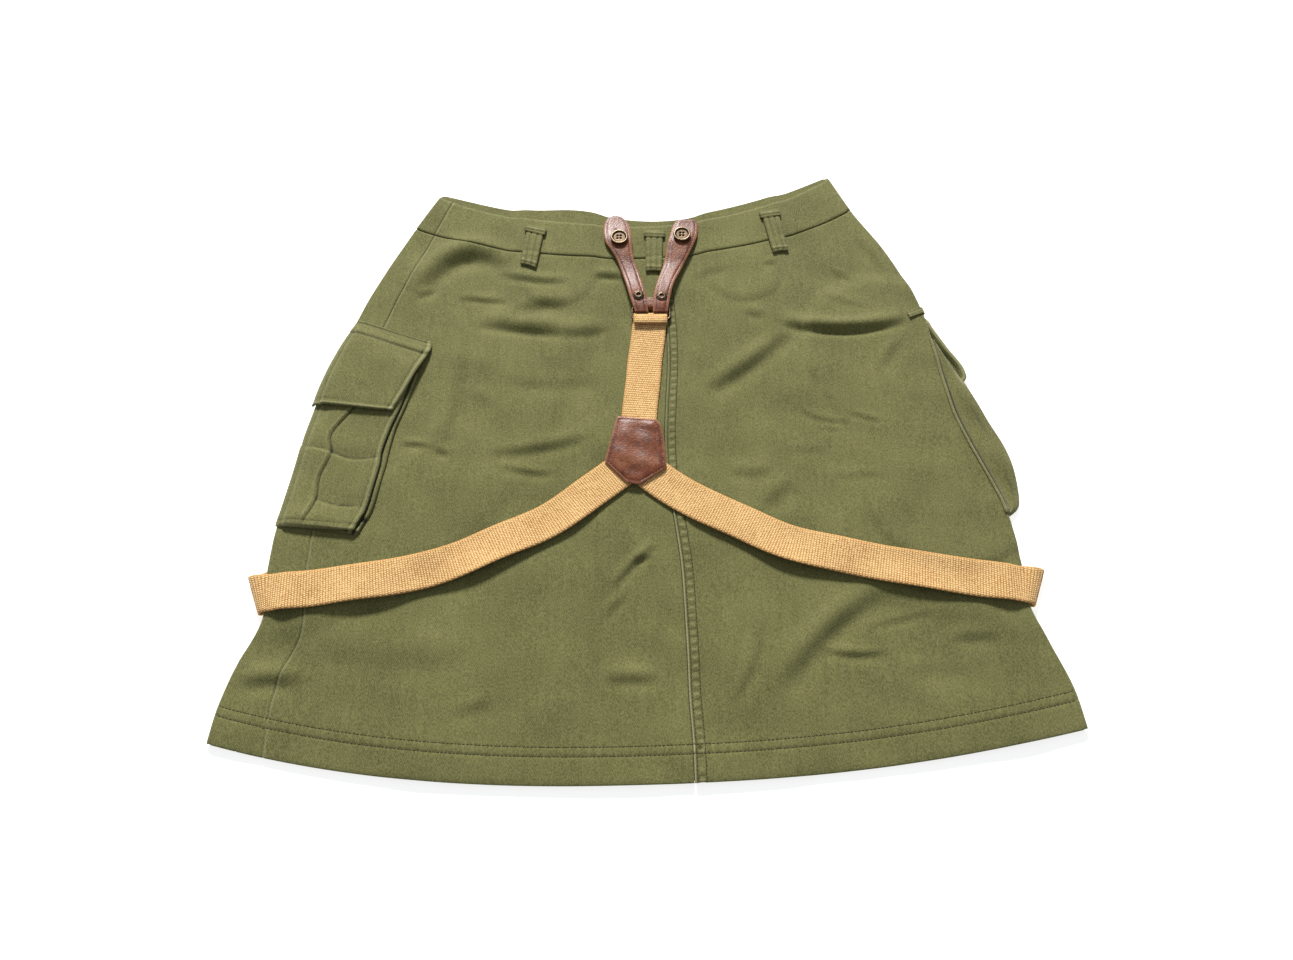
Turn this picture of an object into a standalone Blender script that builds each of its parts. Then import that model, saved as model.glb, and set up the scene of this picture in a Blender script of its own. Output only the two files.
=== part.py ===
# Suspender skirt, laid flat on its front with the waist towards +Y.
#
# The skirt is a flattened tube of cotton twill: a front panel and two back panels, with a
# waistband, belt loops and two bellows pockets, and a Y of webbing held by leather and brass.
# All lengths here are millimetres, and a mesh is scaled to metres when it is made.
# X is to the right across the back of the skirt, Y is from hem to waist, and Z is up.

import math

import bpy
import numpy as np

MM = 0.001
COLLECTION = "suspender_skirt"

# Middle of the skirt's own box, in the axes of the sizes below: the part's origin goes there
ORIGIN_X = -0.5
ORIGIN_Y = -4.78

# Outline of the body: corners of the hem and of the back waist edge
HEM_LEFT_Y = -261.0
HEM_RIGHT_Y = -250.0
WAIST_LEFT_Y = 259.0
WAIST_RIGHT_Y = 282.0

# How far the edges run out at each side: share of the height, left x, right x
SIDE_EDGES = (
    (0.00, -331.0, 330.0),
    (0.06, -327.0, 325.0),
    (0.12, -318.0, 314.0),
    (0.18, -305.0, 302.0),
    (0.25, -307.0, 301.0),
    (0.33, -306.0, 296.0),
    (0.43, -299.0, 278.0),
    (0.49, -295.0, 267.0),
    (0.56, -289.0, 260.0),
    (0.63, -281.0, 256.0),
    (0.70, -270.0, 250.0),
    (0.77, -258.0, 239.0),
    (0.84, -243.0, 222.0),
    (0.92, -224.0, 197.0),
    (1.00, -203.0, 177.0),
)

# The hem and the waist dip between their corners
HEM_DIP = 35.0
HEM_DIP_LEAN = -0.12
WAIST_DIP = 48.0
WAIST_DIP_LEAN = 0.10
DIP_POWER = 2.3

# Where the seams lie, as a share of the width (side, centre back) or of the height (waist)
LEFT_SEAM = ((0.0, 0.066), (0.1, 0.056), (0.3, 0.051), (0.9, 0.048), (1.0, 0.036))
RIGHT_SEAM_UNDER = 0.95
CENTRE_BACK = 0.551
WAIST_SEAM = 0.926

# Cloth
WALL = 1.2
BAND_WALL = 1.8
LAYERS = 5.2
SEAM_GAP = 0.3
WAIST_GAP = 1.0
CLEAR = 0.35
HEM_DEPTH = 28.0
HEM_STEP = 0.4
BAND_STEP = 0.8
FELL_WIDTH = 11.0
FELL_STEP = 0.7

# The front waistband shows above the back one by this much at the middle
FRONT_RISE = 11.0
FRONT_RISE_LEFT = 8.0

# Main folds of the back: start, middle and end (x, y), height and half width
FOLDS = (
    (-211, 143, -165, 185, -133, 174, 2.4, 10),
    (-164, 112, -120, 108, -37, 100, 2.0, 10),
    (-189, 137, -167, 83, -176, -2, 2.0, 12),
    (-138, -26, -76, -17, -35, -4, -1.2, 10),
    (112, 112, 158, 106, 222, 114, -1.3, 9),
    (110, 95, 160, 88, 226, 94, 3.2, 12),
    (97, 89, 77, 71, 57, 46, 2.2, 11),
    (197, 211, 212, 186, 221, 160, 1.8, 10),
    (119, -142, 84, -186, 66, -223, 2.4, 13),
    (124, -184, 155, -192, 190, -193, 2.0, 11),
    (2, -92, -15, -116, -30, -136, 1.6, 12),
    (-260, -190, -200, -196, -120, -190, 1.4, 16),
)

# Webbing
WEB_WIDTH = 30.0
WEB_THICK = 1.4
WEB_LIFT = 2.0
BACK_STRAP = ((1.5, 118), (-1, 92), (-3.5, 71), (-5, 51), (-8, 20), (-9, 2))
LEFT_STRAP = (
    (-22, -35), (-40.5, -50), (-81, -81.5), (-121, -101), (-160, -119.5),
    (-198.5, -130.5), (-238, -137), (-277, -142.5), (-300, -144.5),
)
RIGHT_STRAP = (
    (-1, -43), (13.5, -52), (34, -63), (74.5, -83), (114, -102.5), (154, -112.5),
    (193.5, -121.5), (233, -128.5), (272, -134), (296, -137),
)
LEFT_STRAP_FOLD = ((-319, -130), (-306, -160))
RIGHT_STRAP_FOLD = ((315.5, -124), (303.5, -153))
LEFT_STRAP_UNDER = ((-296, -135), (-240, -106), (-160, -40), (-110, 70), (-90, 130), (-86, 172))
RIGHT_STRAP_UNDER = ((294, -134), (235, -114), (170, -80), (118, 20), (92, 120), (88, 176))
STRAP_FOLD_TOP = 6.4
STRAP_SHOULDER = 8.4

# Leather
LEATHER = 1.6
TAB_LIFT = 1.9
TAB_OVER_LOOP = 2.3
TAB_FOOT_LEVEL = 9.7
LEFT_TAB = ((-33, 232), (-29.5, 213), (-18.5, 172), (-8, 130))
RIGHT_TAB = ((38, 231), (33, 211), (20.5, 172), (11, 130))
# Tab outline: share of its length from the head, half width
TAB_OUTLINE = (
    (0.00, 4.5), (0.03, 9.0), (0.08, 12.2), (0.15, 13.2), (0.22, 13.0), (0.32, 10.4),
    (0.42, 8.4), (0.60, 7.8), (0.80, 7.4), (0.97, 7.0), (1.00, 6.4),
)
# Yoke patch: share of its height, left (x, y), right (x, y)
YOKE_ROWS = (
    (0.00, -26.0, 12.0, 10.0, 8.0),
    (0.70, -36.0, -29.0, 15.5, -37.0),
    (1.00, -18.0, -49.5, -6.5, -49.5),
)
YOKE_LIFT = 4.4

# Brass
BUTTON_RADIUS = 8.2
BUTTON_HEIGHT = 3.0
LEFT_BUTTON = (-28.5, 208.0)
RIGHT_BUTTON = (31.5, 210.0)
EYELET_RADIUS = 4.8
EYELET_HOLE = 1.8
LEFT_EYELET = (-9.5, 140.0)
RIGHT_EYELET = (12.5, 139.0)
RING_WIDTH = 36.0
RING_HEIGHT = 14.0
RING_WIRE = 0.9
RING_CENTRE = (2.0, 120.5)
RING_LEVEL = 9.8

# Belt loops of the back: name, top (x, y), bottom (x, y)
LOOP_WIDTH = 18.0
LOOP_THICK = 1.4
LOOPS = (
    ("belt_loop_left", -102.5, 224.0, -110.0, 174.0),
    ("belt_loop_centre", 6.5, 218.0, 5.0, 171.0),
    ("belt_loop_right", 112.5, 238.0, 129.0, 191.0),
)

# Left pocket: y of the row at the outer edge, y at the inner edge, x of the front's inner
# edge and x of the line where the bellows is sewn down
LEFT_POCKET_ROWS = (
    (-87, -93, -243, -236),
    (-84, -90, -241, -234),
    (-66, -70, -235, -229),
    (-30, -34, -229, -223),
    (-4, -10, -226, -219),
    (14, 8, -221, -215),
    (40, 32, -214, -209),
    (74, 58, -207, -202),
)
POCKET_DEPTH = 5.2
# Left flap: y at the outer edge, y at the inner edge, x of the inner edge, lift of its middle
LEFT_FLAP_ROWS = (
    (116, 90, -195, 1.6),
    (110, 84, -195, 1.8),
    (98, 72, -199, 5.4),
    (84, 60, -204, 7.4),
    (58, 40, -212, 7.5),
    (26, 18, -221, 7.6),
)
FLAP_THICK = 1.8

# Right pocket, turned under: y, x of its outer edge, x where the bellows on top ends. It lies
# on the floor under the skirt, and its flap lies under it.
RIGHT_POCKET_ROWS = (
    (-76, 307, 305),
    (-66, 309, 307),
    (-48, 307, 305),
    (-16, 301, 299),
    (10, 291, 289),
    (30, 284, 278),
    (50, 279, 270),
    (76, 268, 264),
    (94, 263, 260),
)
RIGHT_POCKET_WIDTH = 90.0
# Right flap: y at the outer edge, x of the outer edge
RIGHT_FLAP_ROWS = ((118, 246), (112, 254), (86, 268), (60, 282), (50, 277))
RIGHT_FLAP_WIDTH = 88.0
RIGHT_FLAP_LEAN = 12.0

# Plain leather ends of the long straps, hidden under the front waistband
FRONT_TAB_X = (-86.0, 88.0)
FRONT_TAB_LENGTH = 72.0
FRONT_TAB_HALF = 9.0
FRONT_TAB_INSET = 3.0
FRONT_TAB_LEVEL = 2.55

# What lies under the front layer lifts it by this much, and the lift fades outwards
UNDER_POCKET_LIFT = 3.5
UNDER_TAB_LIFT = 3.6
UNDER_STRAP_LIFT = 1.9
LIFT_MARGIN = 21.0
LIFT_FADE = 20.0


def smooth_through(knots, values, at):
    """Read a smooth curve through the knots: cubic pieces whose slopes are the mean slopes."""
    knots = np.asarray(knots, float)
    values = np.asarray(values, float)
    slopes = np.gradient(values, knots)
    at = np.clip(at, knots[0], knots[-1])
    index = np.clip(np.searchsorted(knots, at) - 1, 0, len(knots) - 2)
    span = knots[index + 1] - knots[index]
    share = (at - knots[index]) / span
    square = share * share
    cube = square * share
    return (
        values[index] * (2 * cube - 3 * square + 1)
        + values[index + 1] * (3 * square - 2 * cube)
        + slopes[index] * span * (cube - 2 * square + share)
        + slopes[index + 1] * span * (cube - square)
    )


def smooth_step(low, high, at):
    """Rise from 0 to 1 between low and high."""
    share = np.clip((np.asarray(at, float) - low) / (high - low), 0.0, 1.0)
    return share * share * (3.0 - 2.0 * share)


def left_edge(height):
    """Give x of the left fold at a share of the height."""
    table = np.array(SIDE_EDGES)
    return smooth_through(table[:, 0], table[:, 1], height)


def right_edge(height):
    """Give x of the right fold at a share of the height."""
    table = np.array(SIDE_EDGES)
    return smooth_through(table[:, 0], table[:, 2], height)


def plan_y(x, height, under=False):
    """Give y of a point on the line of equal height through the skirt.

    The line runs between the two side edges and dips between them. On the front layer it
    also rises near the waist, so that the front band shows behind the back one.
    """
    left = left_edge(height)
    across = (x - left) / (right_edge(height) - left)
    side = np.clip(2.0 * across - 1.0, -1.0, 1.0)
    ends = (1 - across) * (HEM_LEFT_Y + (WAIST_LEFT_Y - HEM_LEFT_Y) * height)
    ends = ends + across * (HEM_RIGHT_Y + (WAIST_RIGHT_Y - HEM_RIGHT_Y) * height)
    depth = HEM_DIP + (WAIST_DIP - HEM_DIP) * height
    lean = HEM_DIP_LEAN + (WAIST_DIP_LEAN - HEM_DIP_LEAN) * height
    y = ends - depth * (1 - np.abs(side) ** DIP_POWER) * (1 + lean * side)
    if under:
        rise = FRONT_RISE * (1 - np.abs(side) ** 6)
        rise = rise + FRONT_RISE_LEFT * np.exp(-(((side + 0.30) / 0.20) ** 2))
        rise = rise - 3.0 * np.exp(-(((side - 0.16) / 0.22) ** 2))
        y = y + rise * smooth_step(0.70, 1.0, height) + 2.5 * (1 - smooth_step(0.0, 0.1, height))
    return y


def height_at(x, y):
    """Find the share of the height of a place on the back, by repeated correction."""
    height = (y + 275.0) / 510.0
    for _ in range(12):
        height = height + (y - plan_y(x, height)) / 520.0
    return np.clip(height, -0.02, 1.02)


def curve_points(start, middle, end, count):
    """Give points on the arc that starts, passes near the middle and ends as told."""
    share = np.linspace(0.0, 1.0, count)[:, None]
    start, middle, end = (np.asarray(p, float) for p in (start, middle, end))
    handle = 2.0 * middle - 0.5 * (start + end)
    return (1 - share) ** 2 * start + 2 * share * (1 - share) * handle + share ** 2 * end


def distance_to_path(x, y, path):
    """Give the shortest distance to a path of points, and the share of its length there."""
    best = np.full(np.shape(x), 1e9)
    share = np.zeros(np.shape(x))
    last = len(path) - 1
    for index in range(last):
        start = path[index]
        along = path[index + 1] - start
        length = float(along @ along)
        part = np.clip(((x - start[0]) * along[0] + (y - start[1]) * along[1]) / length, 0, 1)
        gap = np.hypot(x - start[0] - part * along[0], y - start[1] - part * along[1])
        nearer = gap < best
        best = np.where(nearer, gap, best)
        share = np.where(nearer, (index + part) / last, share)
    return best, share


def fold_relief(x, y):
    """Add up the folds of the back: each is a soft ridge or trough that fades at its ends."""
    relief = np.zeros(np.shape(x))
    for row in FOLDS:
        path = curve_points(row[0:2], row[2:4], row[4:6], 9)
        gap, share = distance_to_path(x, y, path)
        fade = 0.25 + 0.75 * np.sin(np.pi * np.clip(share, 0, 1)) ** 0.6
        relief = relief + row[6] * np.exp(-((gap / row[7]) ** 2)) * fade
    swell = 0.5 * np.sin(x / 61.0 + y / 83.0) + 0.4 * np.sin(x / 37.0 - y / 52.0 + 1.0)
    return relief + swell


def resample(points, step):
    """Read a smooth curve through a route at steps of about the length given."""
    points = np.asarray(points, float)
    reach = np.concatenate([[0.0], np.cumsum(np.hypot(*np.diff(points, axis=0).T))])
    at = np.linspace(0.0, reach[-1], max(3, int(round(reach[-1] / step)) + 1))
    return np.stack([smooth_through(reach, points[:, k], at) for k in (0, 1)], axis=1)


def front_tab_top(x):
    """Give y of the top of a front tab, just below the front band's edge."""
    return float(plan_y(np.array(x), np.array(1.0), under=True)) - FRONT_TAB_INSET


def under_lift(x, y):
    """Give how high the front layer is lifted by what lies between it and the floor."""
    lift = np.zeros(np.shape(x))
    for route in (LEFT_STRAP_UNDER, RIGHT_STRAP_UNDER):
        gap, _ = distance_to_path(x, y, resample(route, 20.0))
        fade = 1 - smooth_step(WEB_WIDTH / 2 + LIFT_MARGIN, WEB_WIDTH / 2 + LIFT_MARGIN + LIFT_FADE, gap)
        lift = np.maximum(lift, UNDER_STRAP_LIFT * fade)
    for middle in FRONT_TAB_X:
        top = front_tab_top(middle)
        gap, _ = distance_to_path(x, y, np.array([[middle, top - FRONT_TAB_LENGTH], [middle, top]]))
        reach = FRONT_TAB_HALF + LIFT_MARGIN
        fade = 1 - smooth_step(reach, reach + LIFT_FADE, gap)
        lift = np.maximum(lift, UNDER_TAB_LIFT * fade)
    line = np.array([[250.0, -50.0], [246.0, 20.0], [212.0, 86.0]])
    gap, _ = distance_to_path(x, y, line)
    fade = 1 - smooth_step(66.0, 66.0 + LIFT_FADE, gap)
    return np.maximum(lift, UNDER_POCKET_LIFT * fade)


def back_level(x, y):
    """Give the height of the outer face of the back layer above the floor."""
    return under_lift(x, y) + LAYERS + fold_relief(x, y)


def steps_on_back(x, height):
    """Raise the outer face where the cloth is doubled: hem, waistband and felled seam."""
    length = WAIST_LEFT_Y - HEM_LEFT_Y
    hem = HEM_STEP * (1 - smooth_step(HEM_DEPTH - 1.0, HEM_DEPTH + 1.0, height * length))
    band = BAND_STEP * (height > WAIST_SEAM)
    left = left_edge(height)
    seam = left + CENTRE_BACK * (right_edge(height) - left)
    past = x - seam
    fell = FELL_STEP * smooth_step(0.2, 1.2, past) * (1 - smooth_step(FELL_WIDTH, FELL_WIDTH + 1.5, past))
    return hem + band + fell * (height < WAIST_SEAM)


def top_run(x, height, lift=0.0):
    """Give points of the back layer's outer face, moved up by lift."""
    y = plan_y(x, height)
    z = back_level(x, y) + steps_on_back(x, height) + lift
    return np.stack(np.broadcast_arrays(x, y, z), axis=-1)


def bottom_run(x, height):
    """Give points of the front layer's outer face, which rests on the floor."""
    y = plan_y(x, height, under=True)
    return np.stack(np.broadcast_arrays(x, y, under_lift(x, y)), axis=-1)


def fold_size(side, height):
    """Give x of a side fold, its y, the height of its middle and its radius."""
    x = left_edge(height) if side < 0 else right_edge(height)
    y = plan_y(x, height)
    inner = x - side * 5.0
    low = under_lift(inner, y)
    top = back_level(inner, y) + steps_on_back(inner, height)
    return x, y, (low + top) / 2, (top - low) / 2


def fold_run(side, angle, height, lift=0.0):
    """Give points round a side fold: angle 90 is its top, 0 its outermost line, -90 its foot."""
    x, y, middle, radius = fold_size(side, height)
    turn = np.radians(angle)
    reach = radius + lift
    return np.stack(
        np.broadcast_arrays(x - side * radius + side * reach * np.cos(turn), y, middle + reach * np.sin(turn)),
        axis=-1,
    )


def on_back(x, y, lift):
    """Move a place on the back outwards by lift, round the side folds where it reaches them."""
    height = height_at(x, y)
    flat = np.stack(np.broadcast_arrays(x, y, back_level(x, y) + steps_on_back(x, height) + lift), axis=-1)
    result = flat
    for side in (-1, 1):
        edge, _, middle, radius = fold_size(side, height)
        depth = (edge - x) * side
        turn = np.clip(depth / radius, -0.4, 1.0) * np.pi / 2
        reach = radius + lift
        curved_x = edge - side * radius + side * reach * np.cos(turn)
        curved = np.stack(np.broadcast_arrays(curved_x, y, middle + reach * np.sin(turn)), axis=-1)
        result = np.where((depth < radius)[..., None], curved, result)
    return result


def new_material(name, colour, roughness, metallic):
    """Make a plain Principled material, or return it if it is there."""
    material = bpy.data.materials.get(name)
    if material is None:
        material = bpy.data.materials.new(name)
        material.use_nodes = True
        shader = material.node_tree.nodes["Principled BSDF"]
        shader.inputs["Base Color"].default_value = (*colour, 1.0)
        shader.inputs["Roughness"].default_value = roughness
        shader.inputs["Metallic"].default_value = metallic
    return material


def place(name, mesh, material):
    """Put a mesh into the skirt's collection as a named object with its material."""
    item = bpy.data.objects.new(name, mesh)
    item.data.materials.append(new_material(*material))
    bpy.data.collections[COLLECTION].objects.link(item)
    return item


def sheet(name, grid, thickness, material, offset=-1.0):
    """Make a cloth or leather piece: a grid of points given its thickness by Solidify."""
    rows, columns = grid.shape[:2]
    index = np.arange(rows * columns).reshape(rows, columns)
    faces = np.stack([index[:-1, :-1], index[:-1, 1:], index[1:, 1:], index[1:, :-1]], axis=-1)
    mesh = bpy.data.meshes.new(name)
    points = (grid.reshape(-1, 3) - (ORIGIN_X, ORIGIN_Y, 0.0)) * MM
    mesh.from_pydata(points.tolist(), [], faces.reshape(-1, 4).tolist())
    mesh.shade_smooth()
    item = place(name, mesh, material)
    wall = item.modifiers.new("wall", "SOLIDIFY")
    wall.thickness = thickness * MM
    wall.offset = offset
    wall.use_rim = True
    return item


def turned(name, profile, centre, steps, material):
    """Turn a profile of (radius, height) pairs about the vertical through the centre."""
    points = [(r * MM, 0.0, z * MM) for r, z in profile]
    last = len(points) - 1
    edges = [(k, k + 1) for k in range(last)]
    if profile[0][0] > 0.01:
        edges.append((last, 0))
    mesh = bpy.data.meshes.new(name)
    mesh.from_pydata(points, edges, [])
    item = place(name, mesh, material)
    item.location = ((centre[0] - ORIGIN_X) * MM, (centre[1] - ORIGIN_Y) * MM, centre[2] * MM)
    screw = item.modifiers.new("turn", "SCREW")
    screw.axis = "Z"
    screw.steps = steps
    screw.render_steps = steps
    screw.use_merge_vertices = True
    screw.merge_threshold = 0.00001
    screw.use_normal_calculate = True
    return item


TWILL = ("olive_twill", (0.19, 0.18, 0.085), 0.9, 0.0)
WEBBING = ("tan_webbing", (0.72, 0.43, 0.17), 0.85, 0.0)
HIDE = ("brown_leather", (0.10, 0.03, 0.02), 0.4, 0.0)
BRASS = ("aged_brass", (0.30, 0.20, 0.09), 0.4, 1.0)


def height_rows(low, high, count):
    """Give rows of the height share from low to high."""
    return np.linspace(low, high, count)[:, None]


def panel_heights():
    """Give the rows of a panel: hem edge, both sides of the hem step, then even rows."""
    length = WAIST_LEFT_Y - HEM_LEFT_Y
    hem = [0.0, 0.5 * HEM_DEPTH / length, (HEM_DEPTH - 1) / length, (HEM_DEPTH + 1) / length]
    rest = np.linspace(0.09, WAIST_SEAM - WAIST_GAP / 2 / length, 24)
    return np.concatenate([hem, rest])[:, None]


def left_seam_x(height):
    """Give x of the left side seam, which lies on the back."""
    table = np.array(LEFT_SEAM)
    left = left_edge(height)
    return left + np.interp(height, table[:, 0], table[:, 1]) * (right_edge(height) - left)


def share_x(height, share):
    """Give x at a share of the width."""
    left = left_edge(height)
    return left + share * (right_edge(height) - left)


def across(start, end, count):
    """Give columns from start to end, where both are columns of rows."""
    return start + (end - start) * np.linspace(0.0, 1.0, count)[None, :]


def front_piece(heights, under_columns):
    """Give the front: along the floor from the right seam, round the left fold, up to the left seam."""
    half = SEAM_GAP / 2
    radius = fold_size(-1, heights)[3]
    left = left_edge(heights)
    floor = bottom_run(across(share_x(heights, RIGHT_SEAM_UNDER) - half, left + radius + 4.0, under_columns), heights)
    fold = fold_run(-1, np.linspace(-90, 90, 7)[None, :], heights)
    top = top_run(across(left + radius + 4.0, left_seam_x(heights) - half, 3), heights)
    ease = plan_y(left, heights)
    fold[..., 1] = ease + (floor[:, -1:, 1] - ease) * (1 - smooth_step(-90, 90, np.linspace(-90, 90, 7)))
    return np.concatenate([floor, fold, top], axis=1)


def back_right_piece(heights, start, columns):
    """Give the back from a start line, round the right fold, under to the right seam."""
    half = SEAM_GAP / 2
    radius = fold_size(1, heights)[3]
    right = right_edge(heights)
    fell = start + np.array([[0.0, 1.3, FELL_WIDTH, FELL_WIDTH + 1.6]])
    top = top_run(np.concatenate([fell, across(start + 22.0, right - radius - 4.0, columns)], axis=1), heights)
    angles = np.linspace(90, -90, 7)[None, :]
    fold = fold_run(1, angles, heights)
    floor = bottom_run(across(right - radius - 4.0, share_x(heights, RIGHT_SEAM_UNDER) + half, 3), heights)
    ease = plan_y(right, heights)
    fold[..., 1] = ease + (floor[:, :1, 1] - ease) * smooth_step(-90, 90, -angles)
    return np.concatenate([top, fold, floor], axis=1)


def build_body():
    """Build the front panel, the two back panels and the waistband's two pieces."""
    half = SEAM_GAP / 2
    rows = panel_heights()
    sheet("front_panel", front_piece(rows, 26), WALL, TWILL)
    middle = share_x(rows, CENTRE_BACK)
    left = top_run(across(left_seam_x(rows) + half, middle - half, 20), rows)
    sheet("back_left_panel", left, WALL, TWILL)
    sheet("back_right_panel", back_right_piece(rows, middle + half, 17), WALL, TWILL)
    length = WAIST_LEFT_Y - HEM_LEFT_Y
    band_rows = height_rows(WAIST_SEAM + WAIST_GAP / 2 / length, 1.0, 4)
    sheet("front_waistband", front_piece(band_rows, 24), BAND_WALL, TWILL)
    start = left_seam_x(band_rows) + half
    sheet("back_waistband", back_right_piece(band_rows, start, 30), BAND_WALL, TWILL)


def build_belt_loops():
    """Build the three loops of the back, from near the top edge to just below the band."""
    for name, top_x, top_y, end_x, end_y in LOOPS:
        share = np.linspace(0.0, 1.0, 7)[:, None]
        aside = np.linspace(-0.5, 0.5, 3)[None, :] * LOOP_WIDTH
        x = end_x + (top_x - end_x) * share + aside
        y = end_y + (top_y - end_y) * share - aside * (top_x - end_x) / (top_y - end_y)
        lift = LOOP_THICK + CLEAR + 0.6 + 0.5 * np.sin(np.pi * share) + 0.0 * aside
        sheet(name, on_back(x, y, lift + BAND_STEP * (height_at(x, y) < WAIST_SEAM)), LOOP_THICK, TWILL)


def ribbon_rows(route, width, step):
    """Give the two edges of a ribbon along a smooth route in plan."""
    points = resample(route, step)
    along = np.gradient(points, axis=0)
    along = along / np.hypot(along[:, 0], along[:, 1])[:, None]
    aside = np.stack([-along[:, 1], along[:, 0]], axis=1) * width / 2
    return points + aside, points - aside


def lay_on_back(upper, lower, lift):
    """Lay rows between two edges over the back, five points across."""
    share = np.linspace(0.0, 1.0, 5)[None, :, None]
    plan = upper[:, None] + (lower - upper)[:, None] * share
    return on_back(plan[..., 0], plan[..., 1], lift)


def side_strap(name, over, fold, under, side):
    """Build a long strap: over the back, folded round the side, and under to the front band.

    The fold line is slanted, so the strap leaves it towards the waist on the underside.
    """
    first, second = ribbon_rows(over, WEB_WIDTH, 13.0)
    upper, lower = (second, first) if side < 0 else (first, second)
    grid = lay_on_back(upper, lower, WEB_LIFT)
    fold = np.asarray(fold, float)
    share = np.linspace(0.0, 1.0, 5)[:, None]
    line = fold[0] + (fold[1] - fold[0]) * share
    direction = fold[1] - fold[0]
    outward = np.array([-direction[1], direction[0]]) / np.hypot(*direction)
    outward = outward * (1.0 if outward[0] * side > 0 else -1.0)
    radius = (STRAP_FOLD_TOP - WEB_THICK / 2) / 2
    middle = WEB_THICK / 2 + radius
    shoulder = grid[-1, :, :2] + (line - grid[-1, :, :2]) * 0.62
    bend = [np.concatenate([shoulder, np.full((5, 1), STRAP_SHOULDER)], axis=1)]
    for angle in np.linspace(90.0, -90.0, 6):
        turn = math.radians(angle)
        place_xy = line + outward * radius * math.cos(turn)
        z = np.full((5, 1), middle + radius * math.sin(turn))
        bend.append(np.concatenate([place_xy, z], axis=1))
    first, second = ribbon_rows(under, WEB_WIDTH, 22.0)
    upper, lower = (first, second) if side < 0 else (second, first)
    share = share[None, :, :]
    plan = upper[:, None] + (lower - upper)[:, None] * share
    floor = np.concatenate([plan, np.full(plan.shape[:2] + (1,), WEB_THICK / 2)], axis=2)
    rows = np.concatenate([grid, np.array(bend), floor], axis=0)
    sheet(name, rows, WEB_THICK, WEBBING, offset=0.0)


def build_straps():
    """Build the webbing: the short back strap with its folded end, and the two long straps."""
    side_strap("left_strap", LEFT_STRAP, LEFT_STRAP_FOLD, LEFT_STRAP_UNDER, -1)
    side_strap("right_strap", RIGHT_STRAP, RIGHT_STRAP_FOLD, RIGHT_STRAP_UNDER, 1)
    first, second = ribbon_rows(BACK_STRAP, WEB_WIDTH - 0.6, 12.0)
    under = lay_on_back(second, first, WEB_LIFT - 0.4)
    level = RING_LEVEL
    bar_y = RING_CENTRE[1] - RING_HEIGHT / 2 + RING_WIRE
    radius = RING_WIRE + CLEAR + WEB_THICK / 2
    top_rows = under[:3, :, :].copy()
    top_rows[..., 2] = level + radius
    turn_rows = []
    for angle in (60.0, 20.0, -20.0, -60.0):
        turn = math.radians(angle)
        row = under[0].copy()
        row[:, 1] = bar_y + radius * math.cos(turn)
        row[:, 2] = level + radius * math.sin(turn)
        turn_rows.append(row)
    reach = bar_y - 2.0
    for k, row in enumerate(top_rows):
        row[:, 1] = reach - 8.0 * k
    base = under[under[:, 0, 1] < reach - 3.0]
    blend = smooth_step(bar_y - 34.0, bar_y - 2.0, base[..., 1])
    base[..., 2] = base[..., 2] * (1 - blend) + (level - radius) * blend
    rows = np.concatenate([top_rows[::-1], np.array(turn_rows), base], axis=0)
    sheet("back_strap", rows, WEB_THICK, WEBBING, offset=0.0)


def build_leather():
    """Build the two button tabs, the keeper round the ring and the yoke patch."""
    outline = np.array(TAB_OUTLINE)
    for name, route in (("left_button_tab", LEFT_TAB), ("right_button_tab", RIGHT_TAB)):
        points = resample(route, 6.0)
        share = np.linspace(0.0, 1.0, len(points))
        along = np.gradient(points, axis=0)
        along = along / np.hypot(along[:, 0], along[:, 1])[:, None]
        aside = np.stack([-along[:, 1], along[:, 0]], axis=1)
        half = np.interp(share, outline[:, 0], outline[:, 1])[:, None]
        lift = TAB_LIFT + TAB_OVER_LOOP * smooth_step(222, 205, points[:, 1])
        grid = lay_on_back(points - aside * half, points + aside * half, lift[:, None])
        foot = smooth_step(168, 150, grid[..., 1])
        grid[..., 2] = grid[..., 2] * (1 - foot) + TAB_FOOT_LEVEL * foot
        sheet(name, grid, LEATHER, HIDE, 0.0)
    build_keeper()
    rows = np.array(YOKE_ROWS)
    share = np.linspace(0.0, 1.0, 9)
    left = np.stack([np.interp(share, rows[:, 0], rows[:, k]) for k in (1, 2)], axis=1)
    right = np.stack([np.interp(share, rows[:, 0], rows[:, k]) for k in (3, 4)], axis=1)
    sheet("yoke_patch", lay_on_back(right, left, YOKE_LIFT), LEATHER, HIDE, 0.0)


def build_keeper():
    """Build the leather that runs from under the tabs round the ring's upper bar and back."""
    bar_y = RING_CENTRE[1] + RING_HEIGHT / 2 - RING_WIRE
    radius = RING_WIRE + CLEAR + LEATHER / 2
    x = np.linspace(-13.5, 16.5, 5)
    rows = []
    for y, z in ((bar_y + 7.0, radius), (bar_y + 3.0, radius), (bar_y, radius)):
        rows.append(np.stack([x, np.full(5, y), np.full(5, RING_LEVEL + z)], axis=1))
    for angle in (140.0, 180.0, 220.0):
        turn = math.radians(angle)
        y = bar_y + radius * math.cos(turn)
        rows.append(np.stack([x, np.full(5, y), np.full(5, RING_LEVEL + radius * math.sin(turn))], axis=1))
    for y in (bar_y, bar_y + 4.0, bar_y + 12.0):
        rows.append(np.stack([x, np.full(5, y), np.full(5, RING_LEVEL - radius)], axis=1))
    sheet("leather_keeper", np.array(rows), LEATHER, HIDE, 0.0)


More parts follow.
